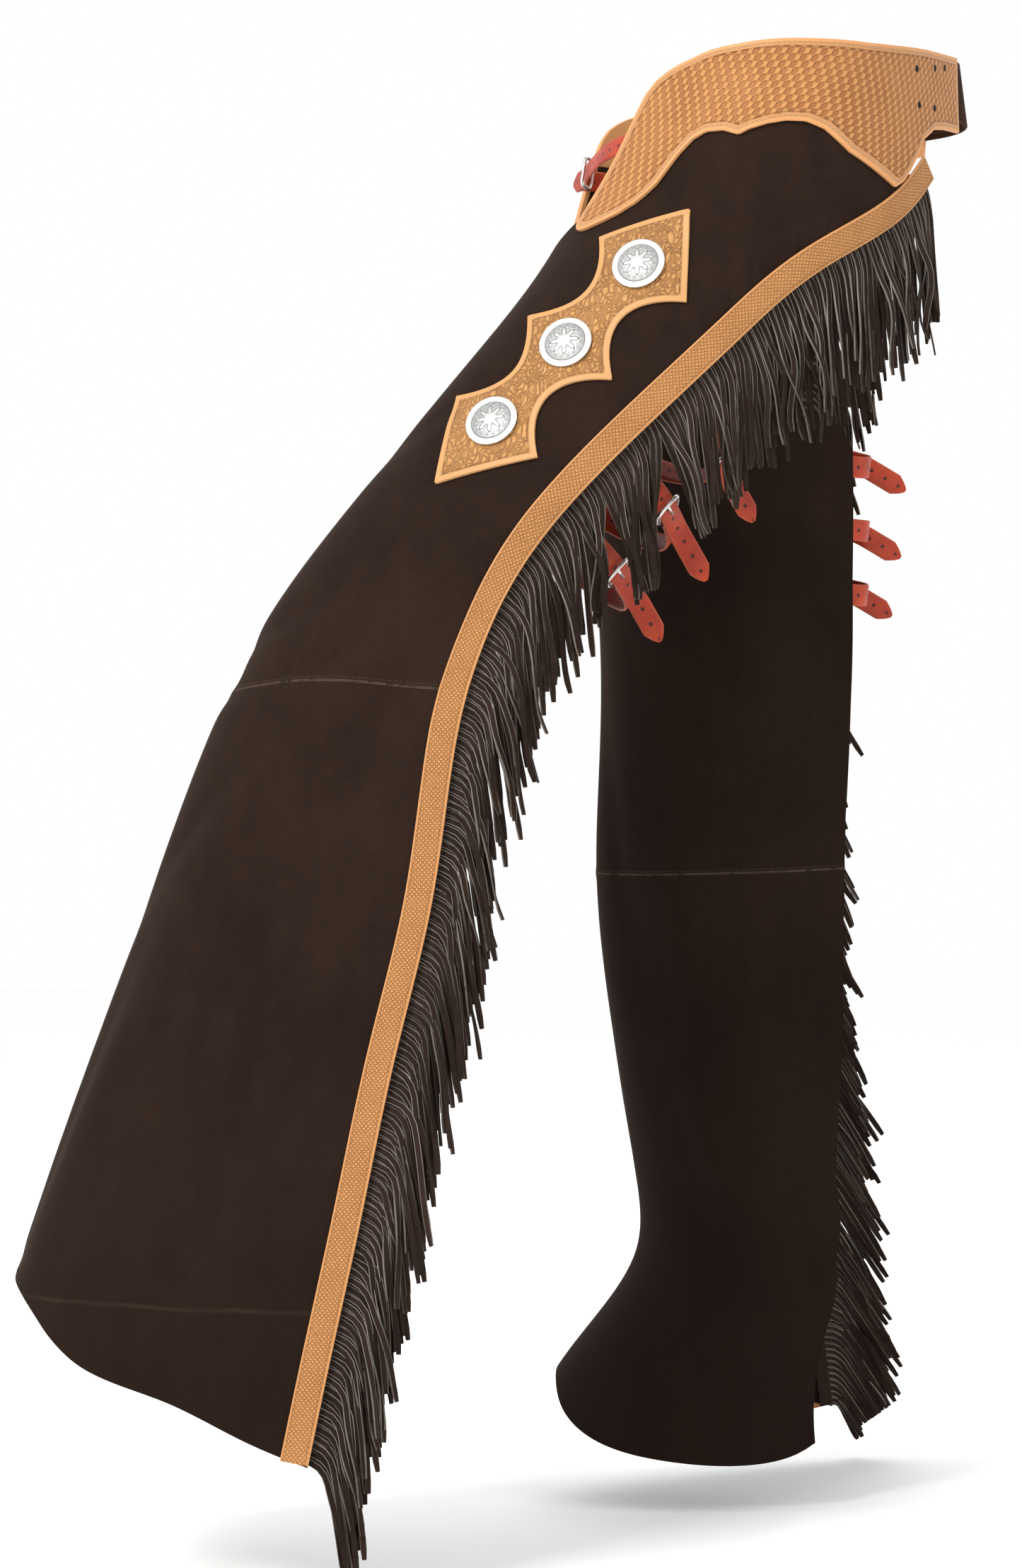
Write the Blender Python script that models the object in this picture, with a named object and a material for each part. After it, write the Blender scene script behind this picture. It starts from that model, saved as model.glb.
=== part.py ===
"""Leather chaps as worn in mid stride, left leg forward and right leg standing.

Units are metres, +Z is up, the wearer faces -Y and the wearer's left is +X.
The origin is the middle of the waist ring at belt height, so the garment hangs
below it. Both legs are cut alike and lie on two hand shaped leg surfaces.
"""

import math

import bmesh
import bpy
import numpy as np
from mathutils import Matrix, Vector

# Leather and gaps
SUEDE = 0.0020
GAP = 0.0004
YOKE_THICK = 0.0026
PATCH_THICK = 0.0020
BINDING_THICK = 0.0016
BINDING_WIDTH = 0.019
STRAP_THICK = 0.0022
STRAP_WIDTH = 0.016
BAND_THICK = 0.0028
BAND_HEIGHT = 0.046
SEAM = 0.0003

# Fringe
FRINGE_COUNT = 54
FRINGE_LENGTH = 0.110
FRINGE_WIDTH = 0.0050
STRAND_WIDTH = 0.0036
FRINGE_THICK = 0.0016
FRINGE_STRIP = 0.010
FRINGE_LIFT = 0.0020
FRINGE_MARGIN = 0.006
STRAND_TWIST = (36.0, 70.0, 84.0)
LEFT_SPREAD = 0.15
RIGHT_SPREAD = 0.46
FLOOR_LEVEL = -1.036

# Conchos and buckles
CONCHO_RADIUS = 0.019
CONCHO_RISE = 0.0045
BUCKLE_LENGTH = 0.022
BUCKLE_WIRE = 0.0028
BUCKLE_INNER = 0.0175
BUCKLE_LEAN = math.radians(24.0)
PRONG_LENGTH = 0.0090
CHAPE_CLEAR = 0.0122
CONCHO_SIDES = 14

# Leather rims and mesh rows
RIM_TOP = -0.080
INNER_TOP = -0.045
PANEL_COLUMNS = 20
THIGH_ROWS = 18
THIGH_GRADE = 1.20
SHIN_ROWS = 12
SHIN_GRADE = 1.22
YOKE_ROWS = 3
YOKE_STEP = 0.0125
BINDING_COLUMNS = 46
PATCH_ROWS = 8

# Surface table resolution
LEVEL_STEP = 0.006
REACH_STEP = 0.005
TOP_LEVEL = 0.060
LOW_LEVEL = -1.110
REACH_OUT = 0.520
REACH_IN = 0.440


# Each row is one level cut through the leather of a leg.
# drop, then side and forward of: back edge, side, front, inner side, inner edge
SECTION_COLUMNS = (
    "level", "edge_side", "edge_back", "side_side", "side_back", "front_side",
    "front_back", "inner_side", "inner_back", "hem_side", "hem_back",
)

LEFT_SECTIONS = (
    (0.050, 0.035, 0.128, 0.169, 0.000, 0.085, -0.114, 0.045, -0.128, 0.000, -0.132),
    (-0.050, 0.040, 0.138, 0.179, -0.008, 0.090, -0.126, 0.045, -0.134, 0.000, -0.137),
    (-0.130, 0.075, 0.130, 0.188, -0.030, 0.098, -0.164, 0.055, -0.160, 0.022, -0.138),
    (-0.220, 0.158, 0.020, 0.194, -0.118, 0.107, -0.234, 0.054, -0.206, 0.028, -0.118),
    (-0.310, 0.190, -0.095, 0.200, -0.212, 0.115, -0.308, 0.052, -0.270, 0.026, -0.156),
    (-0.390, 0.210, -0.168, 0.205, -0.282, 0.122, -0.368, 0.056, -0.328, 0.030, -0.196),
    (-0.460, 0.228, -0.207, 0.211, -0.322, 0.128, -0.405, 0.060, -0.364, 0.032, -0.224),
    (-0.600, 0.262, -0.236, 0.228, -0.370, 0.134, -0.458, 0.060, -0.416, 0.030, -0.280),
    (-0.760, 0.296, -0.276, 0.248, -0.428, 0.139, -0.517, 0.058, -0.472, 0.024, -0.336),
    (-0.920, 0.325, -0.316, 0.268, -0.484, 0.143, -0.572, 0.054, -0.526, 0.018, -0.378),
    (-1.080, 0.350, -0.356, 0.286, -0.538, 0.147, -0.627, 0.050, -0.580, 0.012, -0.416),
)

RIGHT_SECTIONS = (
    (0.050, 0.035, 0.128, 0.169, 0.000, 0.085, -0.114, 0.045, -0.128, 0.000, -0.132),
    (-0.050, 0.040, 0.138, 0.179, -0.008, 0.090, -0.126, 0.045, -0.134, 0.000, -0.137),
    (-0.130, 0.075, 0.134, 0.188, -0.010, 0.098, -0.138, 0.055, -0.137, 0.020, -0.105),
    (-0.220, 0.150, 0.110, 0.194, -0.010, 0.108, -0.128, 0.042, -0.098, 0.020, 0.010),
    (-0.310, 0.178, 0.092, 0.193, -0.012, 0.112, -0.117, 0.036, -0.072, 0.030, 0.056),
    (-0.400, 0.192, 0.084, 0.191, -0.020, 0.114, -0.109, 0.036, -0.060, 0.036, 0.064),
    (-0.490, 0.206, 0.082, 0.191, -0.024, 0.116, -0.109, 0.040, -0.058, 0.040, 0.064),
    (-0.575, 0.218, 0.085, 0.193, -0.028, 0.118, -0.111, 0.044, -0.058, 0.042, 0.064),
    (-0.700, 0.240, 0.096, 0.202, -0.024, 0.122, -0.098, 0.048, -0.050, 0.040, 0.062),
    (-0.800, 0.262, 0.110, 0.214, -0.018, 0.126, -0.083, 0.052, -0.040, 0.038, 0.056),
    (-0.865, 0.276, 0.120, 0.224, -0.018, 0.130, -0.081, 0.053, -0.036, 0.037, 0.052),
    (-0.945, 0.292, 0.130, 0.238, -0.042, 0.134, -0.134, 0.052, -0.080, 0.035, 0.048),
    (-1.080, 0.312, 0.142, 0.252, -0.076, 0.140, -0.186, 0.050, -0.128, 0.032, 0.042),
)

# Back rim of the leather down the outer edge: level, back
LEFT_EDGE = (
    (-0.085, 0.093), (-0.118, 0.061), (-0.150, 0.010), (-0.201, -0.051), (-0.254, -0.107),
    (-0.306, -0.160), (-0.359, -0.203), (-0.411, -0.230), (-0.464, -0.248), (-0.516, -0.258),
    (-0.593, -0.271), (-0.694, -0.297), (-0.796, -0.3205), (-0.896, -0.344), (-0.958, -0.358),
)

RIGHT_EDGE = (
    (-0.085, 0.093), (-0.118, 0.084), (-0.160, 0.070), (-0.220, 0.055), (-0.300, 0.045),
    (-0.400, 0.040), (-0.500, 0.040), (-0.575, 0.043), (-0.700, 0.055), (-0.800, 0.068),
    (-0.900, 0.082), (-0.990, 0.096),
)

# Soft folds: reach, level, lean from upright in degrees, half length, half width, rise
FOLD_COLUMNS = ("reach", "level", "lean", "half_length", "half_width", "rise")

LEFT_FOLDS = (
    (0.085, -0.099, 84.0, 0.045, 0.014, -0.0025),
    (0.150, -0.470, 20.0, 0.110, 0.028, -0.0060),
    (-0.020, -0.440, 75.0, 0.060, 0.016, -0.0040),
    (0.060, -0.650, 6.0, 0.150, 0.030, 0.0050),
    (0.170, -0.780, -4.0, 0.140, 0.030, -0.0060),
    (-0.110, -0.600, 10.0, 0.140, 0.032, 0.0050),
    (0.100, -0.900, 88.0, 0.110, 0.022, 0.0040),
)

RIGHT_FOLDS = (
    (-0.090, -0.330, 70.0, 0.070, 0.020, -0.0045),
    (-0.150, -0.470, 8.0, 0.110, 0.026, 0.0040),
    (0.120, -0.500, 16.0, 0.110, 0.028, -0.0060),
    (-0.060, -0.660, 10.0, 0.130, 0.030, -0.0045),
    (-0.130, -0.850, 62.0, 0.090, 0.024, -0.0055),
    (0.150, -0.800, -4.0, 0.140, 0.030, 0.0060),
)

# Front rim of the leather down the inside of a leg: level, reach
LEFT_INNER = (
    (-0.045, 0.034), (-0.080, 0.026), (-0.108, 0.016), (-0.135, -0.022), (-0.170, -0.066), (-0.210, -0.112), (-0.260, -0.158),
    (-0.320, -0.196), (-0.400, -0.218), (-0.500, -0.228), (-0.600, -0.229), (-0.700, -0.232),
    (-0.800, -0.241), (-0.860, -0.249),
)

RIGHT_INNER = (
    (-0.045, 0.034), (-0.080, 0.026), (-0.108, 0.014), (-0.130, -0.026), (-0.160, -0.078),
    (-0.195, -0.130), (-0.218, -0.168), (-0.236, -0.208), (-0.247, -0.232), (-0.262, -0.239),
    (-0.300, -0.236), (-0.360, -0.230), (-0.450, -0.224), (-0.600, -0.217), (-0.700, -0.206),
    (-0.800, -0.187), (-0.860, -0.186), (-0.920, -0.212), (-1.000, -0.256),
)

# Top rim of the thigh panel under the yoke: reach, level
THIGH_TOP = (
    (0.262, -0.082), (0.245, -0.079), (0.215, -0.064), (0.190, -0.050), (0.165, -0.039),
    (0.140, -0.037), (0.116, -0.041), (0.090, -0.043), (0.060, -0.044),
)

# Hem: reach, level
LEFT_HEM = (
    (-0.260, -0.846), (-0.180, -0.862), (-0.110, -0.862), (-0.050, -0.852), (0.000, -0.846),
    (0.035, -0.855), (0.078, -0.876), (0.123, -0.898), (0.201, -0.919), (0.264, -0.942),
    (0.320, -0.960),
)

RIGHT_HEM = (
    (-0.262, -0.988), (-0.250, -1.000), (-0.230, -1.009), (-0.202, -1.012), (-0.150, -1.009),
    (-0.088, -0.997), (-0.037, -0.974), (-0.010, -0.958), (0.040, -0.950), (0.100, -0.957),
    (0.180, -0.972), (0.260, -0.990),
)

LEFT_KNEE = ((-0.240, -0.452), (0.000, -0.447), (0.060, -0.441), (0.130, -0.441), (0.210, -0.449))
RIGHT_KNEE = ((-0.230, -0.572), (-0.080, -0.577), (0.000, -0.577), (0.100, -0.571), (0.210, -0.566))

# Yoke outline by reach: reach, top, bottom
YOKE = (
    (0.0150, -0.1080, -0.1180),
    (0.0190, -0.0860, -0.1230),
    (0.0250, -0.0520, -0.1240),
    (0.0290, -0.0380, -0.1235),
    (0.0340, -0.0260, -0.1220),
    (0.0420, -0.0170, -0.1190),
    (0.0520, -0.0110, -0.1140),
    (0.0610, -0.0070, -0.1060),
    (0.0700, -0.0040, -0.0930),
    (0.0780, -0.0010, -0.0740),
    (0.0850, 0.0010, -0.0630),
    (0.0930, 0.0025, -0.0580),
    (0.1050, 0.0040, -0.0575),
    (0.1170, 0.0055, -0.0610),
    (0.1240, 0.0060, -0.0570),
    (0.1350, 0.0065, -0.0535),
    (0.1470, 0.0065, -0.0515),
    (0.1600, 0.0065, -0.0520),
    (0.1740, 0.0065, -0.0570),
    (0.1980, 0.0065, -0.0720),
    (0.2250, 0.0080, -0.0830),
    (0.2500, 0.0100, -0.0930),
    (0.2570, 0.0105, -0.0880),
    (0.2640, 0.0110, -0.0740),
    (0.2740, 0.0118, -0.0550),
    (0.2900, 0.0125, -0.0455),
    (0.3100, 0.0135, -0.0430),
    (0.3380, 0.0150, -0.0420),
)

# Three diamond patch: reach and level of its middle, and its named sizes
PATCH_REACH = 0.093
PATCH_LEVEL = -0.208
PATCH_PITCH = 0.0750
PATCH_HALF = 0.0440
PATCH_NECK = 0.0180
PATCH_TOP_TIP = 0.0540
PATCH_LOW_TIP = 0.0590
LEFT_PATCH_AXIS = (0.025, -0.683, -0.730)
RIGHT_PATCH_AXIS = (0.000, -0.060, -0.998)
RIGHT_PATCH_REACH = 0.088
RIGHT_PATCH_LEVEL = -0.232

# Leg straps: level at the back rim, level at the inner rim, distance from rim to buckle
LEFT_STRAPS = ((-0.236, -0.244, 0.066), (-0.282, -0.292, 0.061), (-0.324, -0.334, 0.067))
RIGHT_STRAPS = ((-0.254, -0.276, 0.060), (-0.309, -0.322, 0.058), (-0.352, -0.370, 0.046))
LEFT_STRAP_BACK = (0.0, 0.740, -0.670)
RIGHT_STRAP_BACK = (0.0, 0.995, -0.090)
LEFT_STRAP_DEPTH = 0.078
RIGHT_STRAP_DEPTH = 0.028
LEFT_TIP_DIRECTION = (-0.04, 0.500, -0.865)
RIGHT_TIP_DIRECTION = (0.16, 0.860, -0.480)
TIP_LENGTH = 0.056


def curve(knots, values, at):
    """Natural cubic curve through named knots, straight beyond both ends."""
    knots = np.asarray(knots, dtype=float)
    values = np.asarray(values, dtype=float)
    at = np.asarray(at, dtype=float)
    step = np.diff(knots)
    slope = np.diff(values) / step
    count = len(knots)
    system = np.eye(count)
    right = np.zeros(count)
    for row in range(1, count - 1):
        system[row, row - 1] = step[row - 1]
        system[row, row] = 2.0 * (step[row - 1] + step[row])
        system[row, row + 1] = step[row]
        right[row] = 6.0 * (slope[row] - slope[row - 1])
    bend = np.linalg.solve(system, right)
    cell = np.clip(np.searchsorted(knots, at) - 1, 0, count - 2)
    width = step[cell]
    inside = np.clip(at, knots[0], knots[-1])
    near = (knots[cell + 1] - inside) / width
    far = 1.0 - near
    result = near * values[cell] + far * values[cell + 1]
    result += ((near ** 3 - near) * bend[cell] + (far ** 3 - far) * bend[cell + 1]) * width ** 2 / 6.0
    first = slope[0] - step[0] * bend[1] / 6.0
    last = slope[-1] + step[-1] * bend[-2] / 6.0
    result += np.where(at < knots[0], (at - knots[0]) * first, 0.0)
    result += np.where(at > knots[-1], (at - knots[-1]) * last, 0.0)
    return result


def blend_weights(part):
    """Weights of four neighbouring table entries for a smooth reading."""
    square = part * part
    cube = square * part
    return (
        -0.5 * part + square - 0.5 * cube,
        1.0 - 2.5 * square + 1.5 * cube,
        0.5 * part + 2.0 * square - 1.5 * cube,
        -0.5 * square + 0.5 * cube,
    )


class LegForm:
    """Leather surface of one leg, read by reach round it and by level."""

    def __init__(self, sections, edge, side):
        self.side = side
        self.levels = np.arange(TOP_LEVEL, LOW_LEVEL, -LEVEL_STEP)
        self.reaches = np.arange(-REACH_IN, REACH_OUT, REACH_STEP)
        rows = np.array(sections)[::-1]
        columns = []
        for index in range(1, rows.shape[1]):
            columns.append(curve(rows[:, 0], rows[:, index], self.levels))
        self.table = np.zeros((len(self.levels), len(self.reaches), 3))
        self.inner_end = np.zeros(len(self.levels))
        self.outer_end = np.zeros(len(self.levels))
        edge_rows = np.array(edge)[::-1]
        edge_back = curve(edge_rows[:, 0], edge_rows[:, 1], self.levels)
        for row, level in enumerate(self.levels):
            knots = np.array([column[row] for column in columns]).reshape(5, 2)
            self.table[row], self.inner_end[row], self.outer_end[row] = self.lay_row(
                knots, level, edge_back[row])

    def lay_row(self, knots, level, back):
        """Cut one level: its points, its inner end and its outer rim."""
        chord = np.concatenate([[0.0], np.cumsum(np.linalg.norm(np.diff(knots, axis=0), axis=1))])
        along = np.linspace(0.0, chord[-1], 240)
        sides = curve(chord, knots[:, 0], along)
        backs = curve(chord, knots[:, 1], along)
        travel = np.hypot(np.diff(sides), np.diff(backs))
        length = np.concatenate([[0.0], np.cumsum(travel)])
        front = np.interp(chord[2], along, length)
        reach = front - length
        order = np.argsort(reach)
        reach = reach[order]
        sides = sides[order]
        backs = backs[order]
        wanted = np.clip(self.reaches, reach[0], reach[-1])
        side = np.interp(wanted, reach, sides)
        behind = np.interp(wanted, reach, backs)
        over = self.reaches - wanted
        out_dir = np.array([sides[-1] - sides[-6], backs[-1] - backs[-6]])
        in_dir = np.array([sides[0] - sides[5], backs[0] - backs[5]])
        out_dir /= np.linalg.norm(out_dir)
        in_dir /= np.linalg.norm(in_dir)
        side = side + np.where(over > 0.0, over * out_dir[0], -over * in_dir[0])
        behind = behind + np.where(over > 0.0, over * out_dir[1], -over * in_dir[1])
        outer = reach > 0.0
        rim = float(np.interp(back, backs[outer], reach[outer]))
        points = np.stack([side * self.side, behind, np.full(len(side), level)], axis=1)
        return points, float(reach[0]), rim

    def point(self, reach, level):
        """Surface point at a reach from the front line and a level."""
        row = (TOP_LEVEL - level) / LEVEL_STEP
        column = (reach + REACH_IN) / REACH_STEP
        row_cell = int(min(max(math.floor(row), 1), len(self.levels) - 3))
        column_cell = int(min(max(math.floor(column), 1), len(self.reaches) - 3))
        row_weights = blend_weights(row - row_cell)
        column_weights = blend_weights(column - column_cell)
        patch = self.table[row_cell - 1:row_cell + 3, column_cell - 1:column_cell + 3]
        return np.einsum("i,j,ijk->k", row_weights, column_weights, patch)

    def normal(self, reach, level):
        """Outward unit normal."""
        step = 0.004
        across = self.point(reach + step, level) - self.point(reach - step, level)
        down = self.point(reach, level - step) - self.point(reach, level + step)
        facing = np.cross(down, across) * self.side
        return facing / np.linalg.norm(facing)

    def lifted(self, reach, level, lift):
        """Surface point moved out along the normal."""
        return self.point(reach, level) + self.normal(reach, level) * lift

    def outer_rim(self, level):
        """Reach of the leather's back rim at a level."""
        return float(np.interp(-level, -self.levels, self.outer_end))

    def inner_rim(self, level):
        """Reach of the leather's inner rim at a level."""
        return float(np.interp(-level, -self.levels, self.inner_end))



def smooth(part):
    """Ease from 0 to 1."""
    part = min(max(part, 0.0), 1.0)
    return part * part * (3.0 - 2.0 * part)


def unit(vector):
    """Vector of length one."""
    return vector / np.linalg.norm(vector)


def walk(form, spot, heading, distance, steps=3):
    """Move over the leather by a true distance and return reach and level."""
    reach, level = spot
    pace = distance / steps
    small = 0.003
    for _ in range(steps):
        across = (form.point(reach + small, level) - form.point(reach - small, level)) / (2.0 * small)
        rise = (form.point(reach, level + small) - form.point(reach, level - small)) / (2.0 * small)
        facing = form.normal(reach, level)
        ahead = unit(heading - facing * float(np.dot(heading, facing)))
        base = np.stack([across, rise], axis=1)
        change = np.linalg.lstsq(base, ahead * pace, rcond=None)[0]
        reach += float(change[0])
        level += float(change[1])
    return reach, level


def even_line(spots, count):
    """Evenly spaced entries along a line of reach and level pairs."""
    spots = np.asarray(spots, dtype=float)
    travel = np.concatenate([[0.0], np.cumsum(np.linalg.norm(np.diff(spots, axis=0), axis=1))])
    wanted = np.linspace(0.0, travel[-1], count)
    return np.stack([np.interp(wanted, travel, spots[:, 0]), np.interp(wanted, travel, spots[:, 1])], axis=1)


def along_table(rows, at):
    """Smooth reading of a two column table with rising first column."""
    rows = np.array(sorted(rows))
    return curve(rows[:, 0], rows[:, 1], at)


class Leg:
    """One leg with its surface, its tables and its rims."""

    def __init__(self, name, form, inner, knee, hem):
        self.name = name
        self.form = form
        self.inner = np.array(sorted(inner))
        self.knee = np.array(knee)
        self.hem = np.array(hem)

    def inner_reach(self, level):
        """Reach of the inner rim."""
        return float(np.interp(level, self.inner[:, 0], self.inner[:, 1]))

    def knee_level(self, reach):
        """Level of the knee seam."""
        return float(curve(self.knee[:, 0], self.knee[:, 1], np.array([reach]))[0])

    def hem_level(self, reach):
        """Level of the hem."""
        return float(curve(self.hem[:, 0], self.hem[:, 1], np.array([reach]))[0])

    def meet(self, low, high, rim, line):
        """Level where a rim meets a line across the leg."""
        for _ in range(40):
            middle = 0.5 * (low + high)
            if middle > line(rim(middle)):
                high = middle
            else:
                low = middle
        return 0.5 * (low + high)

    def knee_ends(self):
        """Levels of the seam at the outer and inner rims."""
        outer = self.meet(-0.65, -0.35, self.form.outer_rim, self.knee_level)
        inner = self.meet(-0.65, -0.35, self.inner_reach, self.knee_level)
        return outer, inner

    def hem_ends(self):
        """Levels of the hem at the outer and inner rims."""
        outer = self.meet(-1.06, -0.80, self.form.outer_rim, self.hem_level)
        inner = self.meet(-1.06, -0.80, self.inner_reach, self.hem_level)
        return outer, inner

    def rim_line(self, top, bottom, count, rim, grade=1.0):
        """Points of a rim between two levels, closer at the top for a grade over one."""
        levels = np.linspace(top, bottom, 60)
        spots = [(rim(level), level) for level in levels]
        travel = [0.0]
        points = [self.form.point(*spot) for spot in spots]
        for first, second in zip(points[:-1], points[1:]):
            travel.append(travel[-1] + float(np.linalg.norm(second - first)))
        wanted = np.linspace(0.0, 1.0, count) ** grade * travel[-1]
        at = np.interp(wanted, travel, levels)
        return np.array([(rim(level), level) for level in at])

    def rim_length(self):
        """Length of the outer rim from hip to hem."""
        levels = np.linspace(RIM_TOP, self.hem_ends()[0], 80)
        points = np.array([self.form.point(self.form.outer_rim(level), level) for level in levels])
        return float(np.sum(np.linalg.norm(np.diff(points, axis=0), axis=1))), levels, points

    def rim_frame(self, level):
        """Rim point with its direction down the rim, outward way and normal."""
        rim = self.form.outer_rim
        spot = (rim(level), level)
        down = unit(self.form.point(rim(level - 0.006), level - 0.006)
                    - self.form.point(rim(level + 0.006), level + 0.006))
        facing = self.form.normal(*spot)
        out = unit(np.cross(facing, down)) * self.form.side
        if float(np.dot(out, self.form.point(spot[0] + 0.004, level) - self.form.point(*spot))) < 0.0:
            out = -out
        return spot, down, out, facing


def calm_frame(leg, level):
    """Rim frame with its ways averaged over a stretch of the rim."""
    spot, down, out, facing = leg.rim_frame(level)
    for shift in (-0.060, -0.040, -0.020, 0.020, 0.040, 0.060):
        near = min(max(level + shift, leg.hem_ends()[0]), RIM_TOP)
        _, near_down, near_out, near_facing = leg.rim_frame(near)
        down = down + near_down
        out = out + near_out
        facing = facing + near_facing
    down = unit(down)
    facing = unit(facing - down * float(np.dot(facing, down)))
    out = unit(out - down * float(np.dot(out, down)) - facing * float(np.dot(out, facing)))
    return spot, down, out, facing


def slab(columns, rows):
    """Flat closed sheet with two faces, read as across, along and side."""
    mesh = bmesh.new()
    bmesh.ops.create_grid(mesh, x_segments=columns, y_segments=rows, size=0.5)
    raised = bmesh.ops.extrude_face_region(mesh, geom=mesh.faces[:])
    verts = [item for item in raised["geom"] if isinstance(item, bmesh.types.BMVert)]
    bmesh.ops.translate(mesh, verts=verts, vec=(0.0, 0.0, 1.0))
    return mesh


def lay(mesh, place):
    """Move each corner of a slab to its place."""
    for vert in mesh.verts:
        vert.co = place(vert.co.x + 0.5, vert.co.y + 0.5, round(vert.co.z))


def finish(name, mesh, material, parent):
    """Turn a closed mesh into a named object with its material."""
    bmesh.ops.recalc_face_normals(mesh, faces=mesh.faces[:])
    if mesh.calc_volume(signed=True) < 0.0:
        bmesh.ops.reverse_faces(mesh, faces=mesh.faces[:])
    data = bpy.data.meshes.new(name)
    mesh.to_mesh(data)
    mesh.free()
    data.materials.append(material)
    data.shade_smooth()
    data.set_sharp_from_angle(angle=math.radians(40.0))
    item = bpy.data.objects.new(name, data)
    bpy.context.scene.collection.objects.link(item)
    item.parent = parent
    return item


def finish_material(name, colour, roughness, metallic):
    """Plain surface finish."""
    material = bpy.data.materials.new(name)
    material.use_nodes = True
    shader = material.node_tree.nodes["Principled BSDF"]
    shader.inputs["Base Color"].default_value = (*colour, 1.0)
    shader.inputs["Roughness"].default_value = roughness
    shader.inputs["Metallic"].default_value = metallic
    return material


def panel_mesh(leg, top, bottom, outer, inner, grade=1.0):
    """Leather between a top line, a bottom line and two rims."""
    form = leg.form
    columns = PANEL_COLUMNS
    rows = len(outer) - 1
    shares = np.linspace(0.0, 1.0, rows + 1) ** grade

    def place(across, along, side):
        column = round(across * columns)
        row = round(along * rows)
        s = column / columns
        t = shares[row]
        spot = (1.0 - t) * top[column] + t * bottom[column]
        spot = spot + (1.0 - s) * outer[row] + s * inner[row]
        corner = (1.0 - s) * ((1.0 - t) * top[0] + t * bottom[0])
        corner = corner + s * ((1.0 - t) * top[-1] + t * bottom[-1])
        spot = spot - corner
        return form.lifted(spot[0], spot[1], SUEDE * side)

    mesh = slab(columns, rows)
    lay(mesh, place)
    return mesh


def across_line(leg, line, outer_level, inner_level, shift):
    """A line across the leg from the outer rim to the inner rim."""
    start = leg.form.outer_rim(outer_level)
    end = leg.inner_reach(inner_level)
    reaches = np.linspace(start, end, PANEL_COLUMNS + 1)
    return np.array([(reach, line(reach) + shift) for reach in reaches])


def build_panels(leg, material, parent):
    """Thigh panel and shin panel, apart at the knee seam."""
    form = leg.form
    knee_outer, knee_inner = leg.knee_ends()
    hem_outer, hem_inner = leg.hem_ends()
    half = 0.5 * SEAM * 1.15
    top = [(form.outer_rim(RIM_TOP), RIM_TOP)] + list(THIGH_TOP)
    top.append((leg.inner_reach(INNER_TOP), INNER_TOP))
    top = even_line(top, PANEL_COLUMNS + 1)
    seam = across_line(leg, leg.knee_level, knee_outer, knee_inner, half)
    outer = leg.rim_line(RIM_TOP, knee_outer + half, THIGH_ROWS + 1, form.outer_rim, THIGH_GRADE)
    inner = leg.rim_line(INNER_TOP, knee_inner + half, THIGH_ROWS + 1, leg.inner_reach, THIGH_GRADE)
    finish(leg.name + "_thigh_panel", panel_mesh(leg, top, seam, outer, inner, THIGH_GRADE), material, parent)
    seam = across_line(leg, leg.knee_level, knee_outer, knee_inner, -half)
    hem = across_line(leg, leg.hem_level, hem_outer, hem_inner, 0.0)
    outer = leg.rim_line(knee_outer - half, hem_outer, SHIN_ROWS + 1, form.outer_rim, SHIN_GRADE)
    inner = leg.rim_line(knee_inner - half, hem_inner, SHIN_ROWS + 1, leg.inner_reach, SHIN_GRADE)
    finish(leg.name + "_shin_panel", panel_mesh(leg, seam, hem, outer, inner, SHIN_GRADE), material, parent)


def build_yoke(leg, material, parent):
    """Belt half with its scalloped lower edge, front tail and rear point."""
    table = [YOKE[0]]
    for first, second in zip(YOKE[:-1], YOKE[1:]):
        parts = max(1, math.ceil((second[0] - first[0]) / YOKE_STEP))
        for index in range(parts):
            share = (index + 1) / parts
            table.append([low + (high - low) * share for low, high in zip(first, second)])
    table = np.array(table)
    columns = len(table) - 1
    lift = SUEDE + GAP + 0.0003

    def place(across, along, side):
        reach, high, low = table[round(across * columns)]
        level = high + (low - high) * along
        return leg.form.lifted(reach, level, lift + YOKE_THICK * side)

    mesh = slab(columns, YOKE_ROWS)
    lay(mesh, place)
    finish(leg.name + "_yoke", mesh, material, parent)


def build_binding(leg, material, parent):
    """Strip that covers the back rim from hip to hem."""
    bottom = leg.hem_ends()[0]
    line = leg.rim_line(RIM_TOP - 0.002, bottom + 0.001, BINDING_COLUMNS + 1, leg.form.outer_rim)
    frames = [leg.rim_frame(level) for _, level in line]
    lift = SUEDE + GAP + 0.0003

    def place(across, along, side):
        spot, _, out, _ = frames[round(across * BINDING_COLUMNS)]
        distance = 0.0006 - BINDING_WIDTH * (1.0 - along)
        reach, level = walk(leg.form, spot, out, distance)
        return leg.form.lifted(reach, level, lift + BINDING_THICK * side)

    mesh = slab(BINDING_COLUMNS, 1)
    lay(mesh, place)
    finish(leg.name + "_binding", mesh, material, parent)


def strand_path(leg, frame, length, layer, spread):
    """Centre points, ways and twists of one hanging strand."""
    spot, down, out, facing = frame
    start = leg.form.lifted(spot[0], spot[1], -FRINGE_LIFT)
    fall = np.array([0.0, 0.0, -1.0])
    leave = unit(out + (0.16 + layer) * facing)
    lean = max(0.15, spread * float(np.dot(fall, down)) - float(np.dot(fall, out)))
    hang = unit(fall + lean * out + layer * facing)
    point = start.copy()
    stations = [(point.copy(), leave)]
    samples = 24
    step = length / samples
    marks = (0.20, 0.52, 1.0)
    taken = 0
    for index in range(samples):
        part = (index + 0.5) / samples
        way = unit(leave * (1.0 - smooth(part * 2.9)) + hang * smooth(part * 2.9))
        point = point + way * step
        if (index + 1) / samples >= marks[taken] - 1e-6:
            stations.append((point.copy(), way))
            taken += 1
            if taken >= len(marks):
                break
    return stations, down


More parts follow.
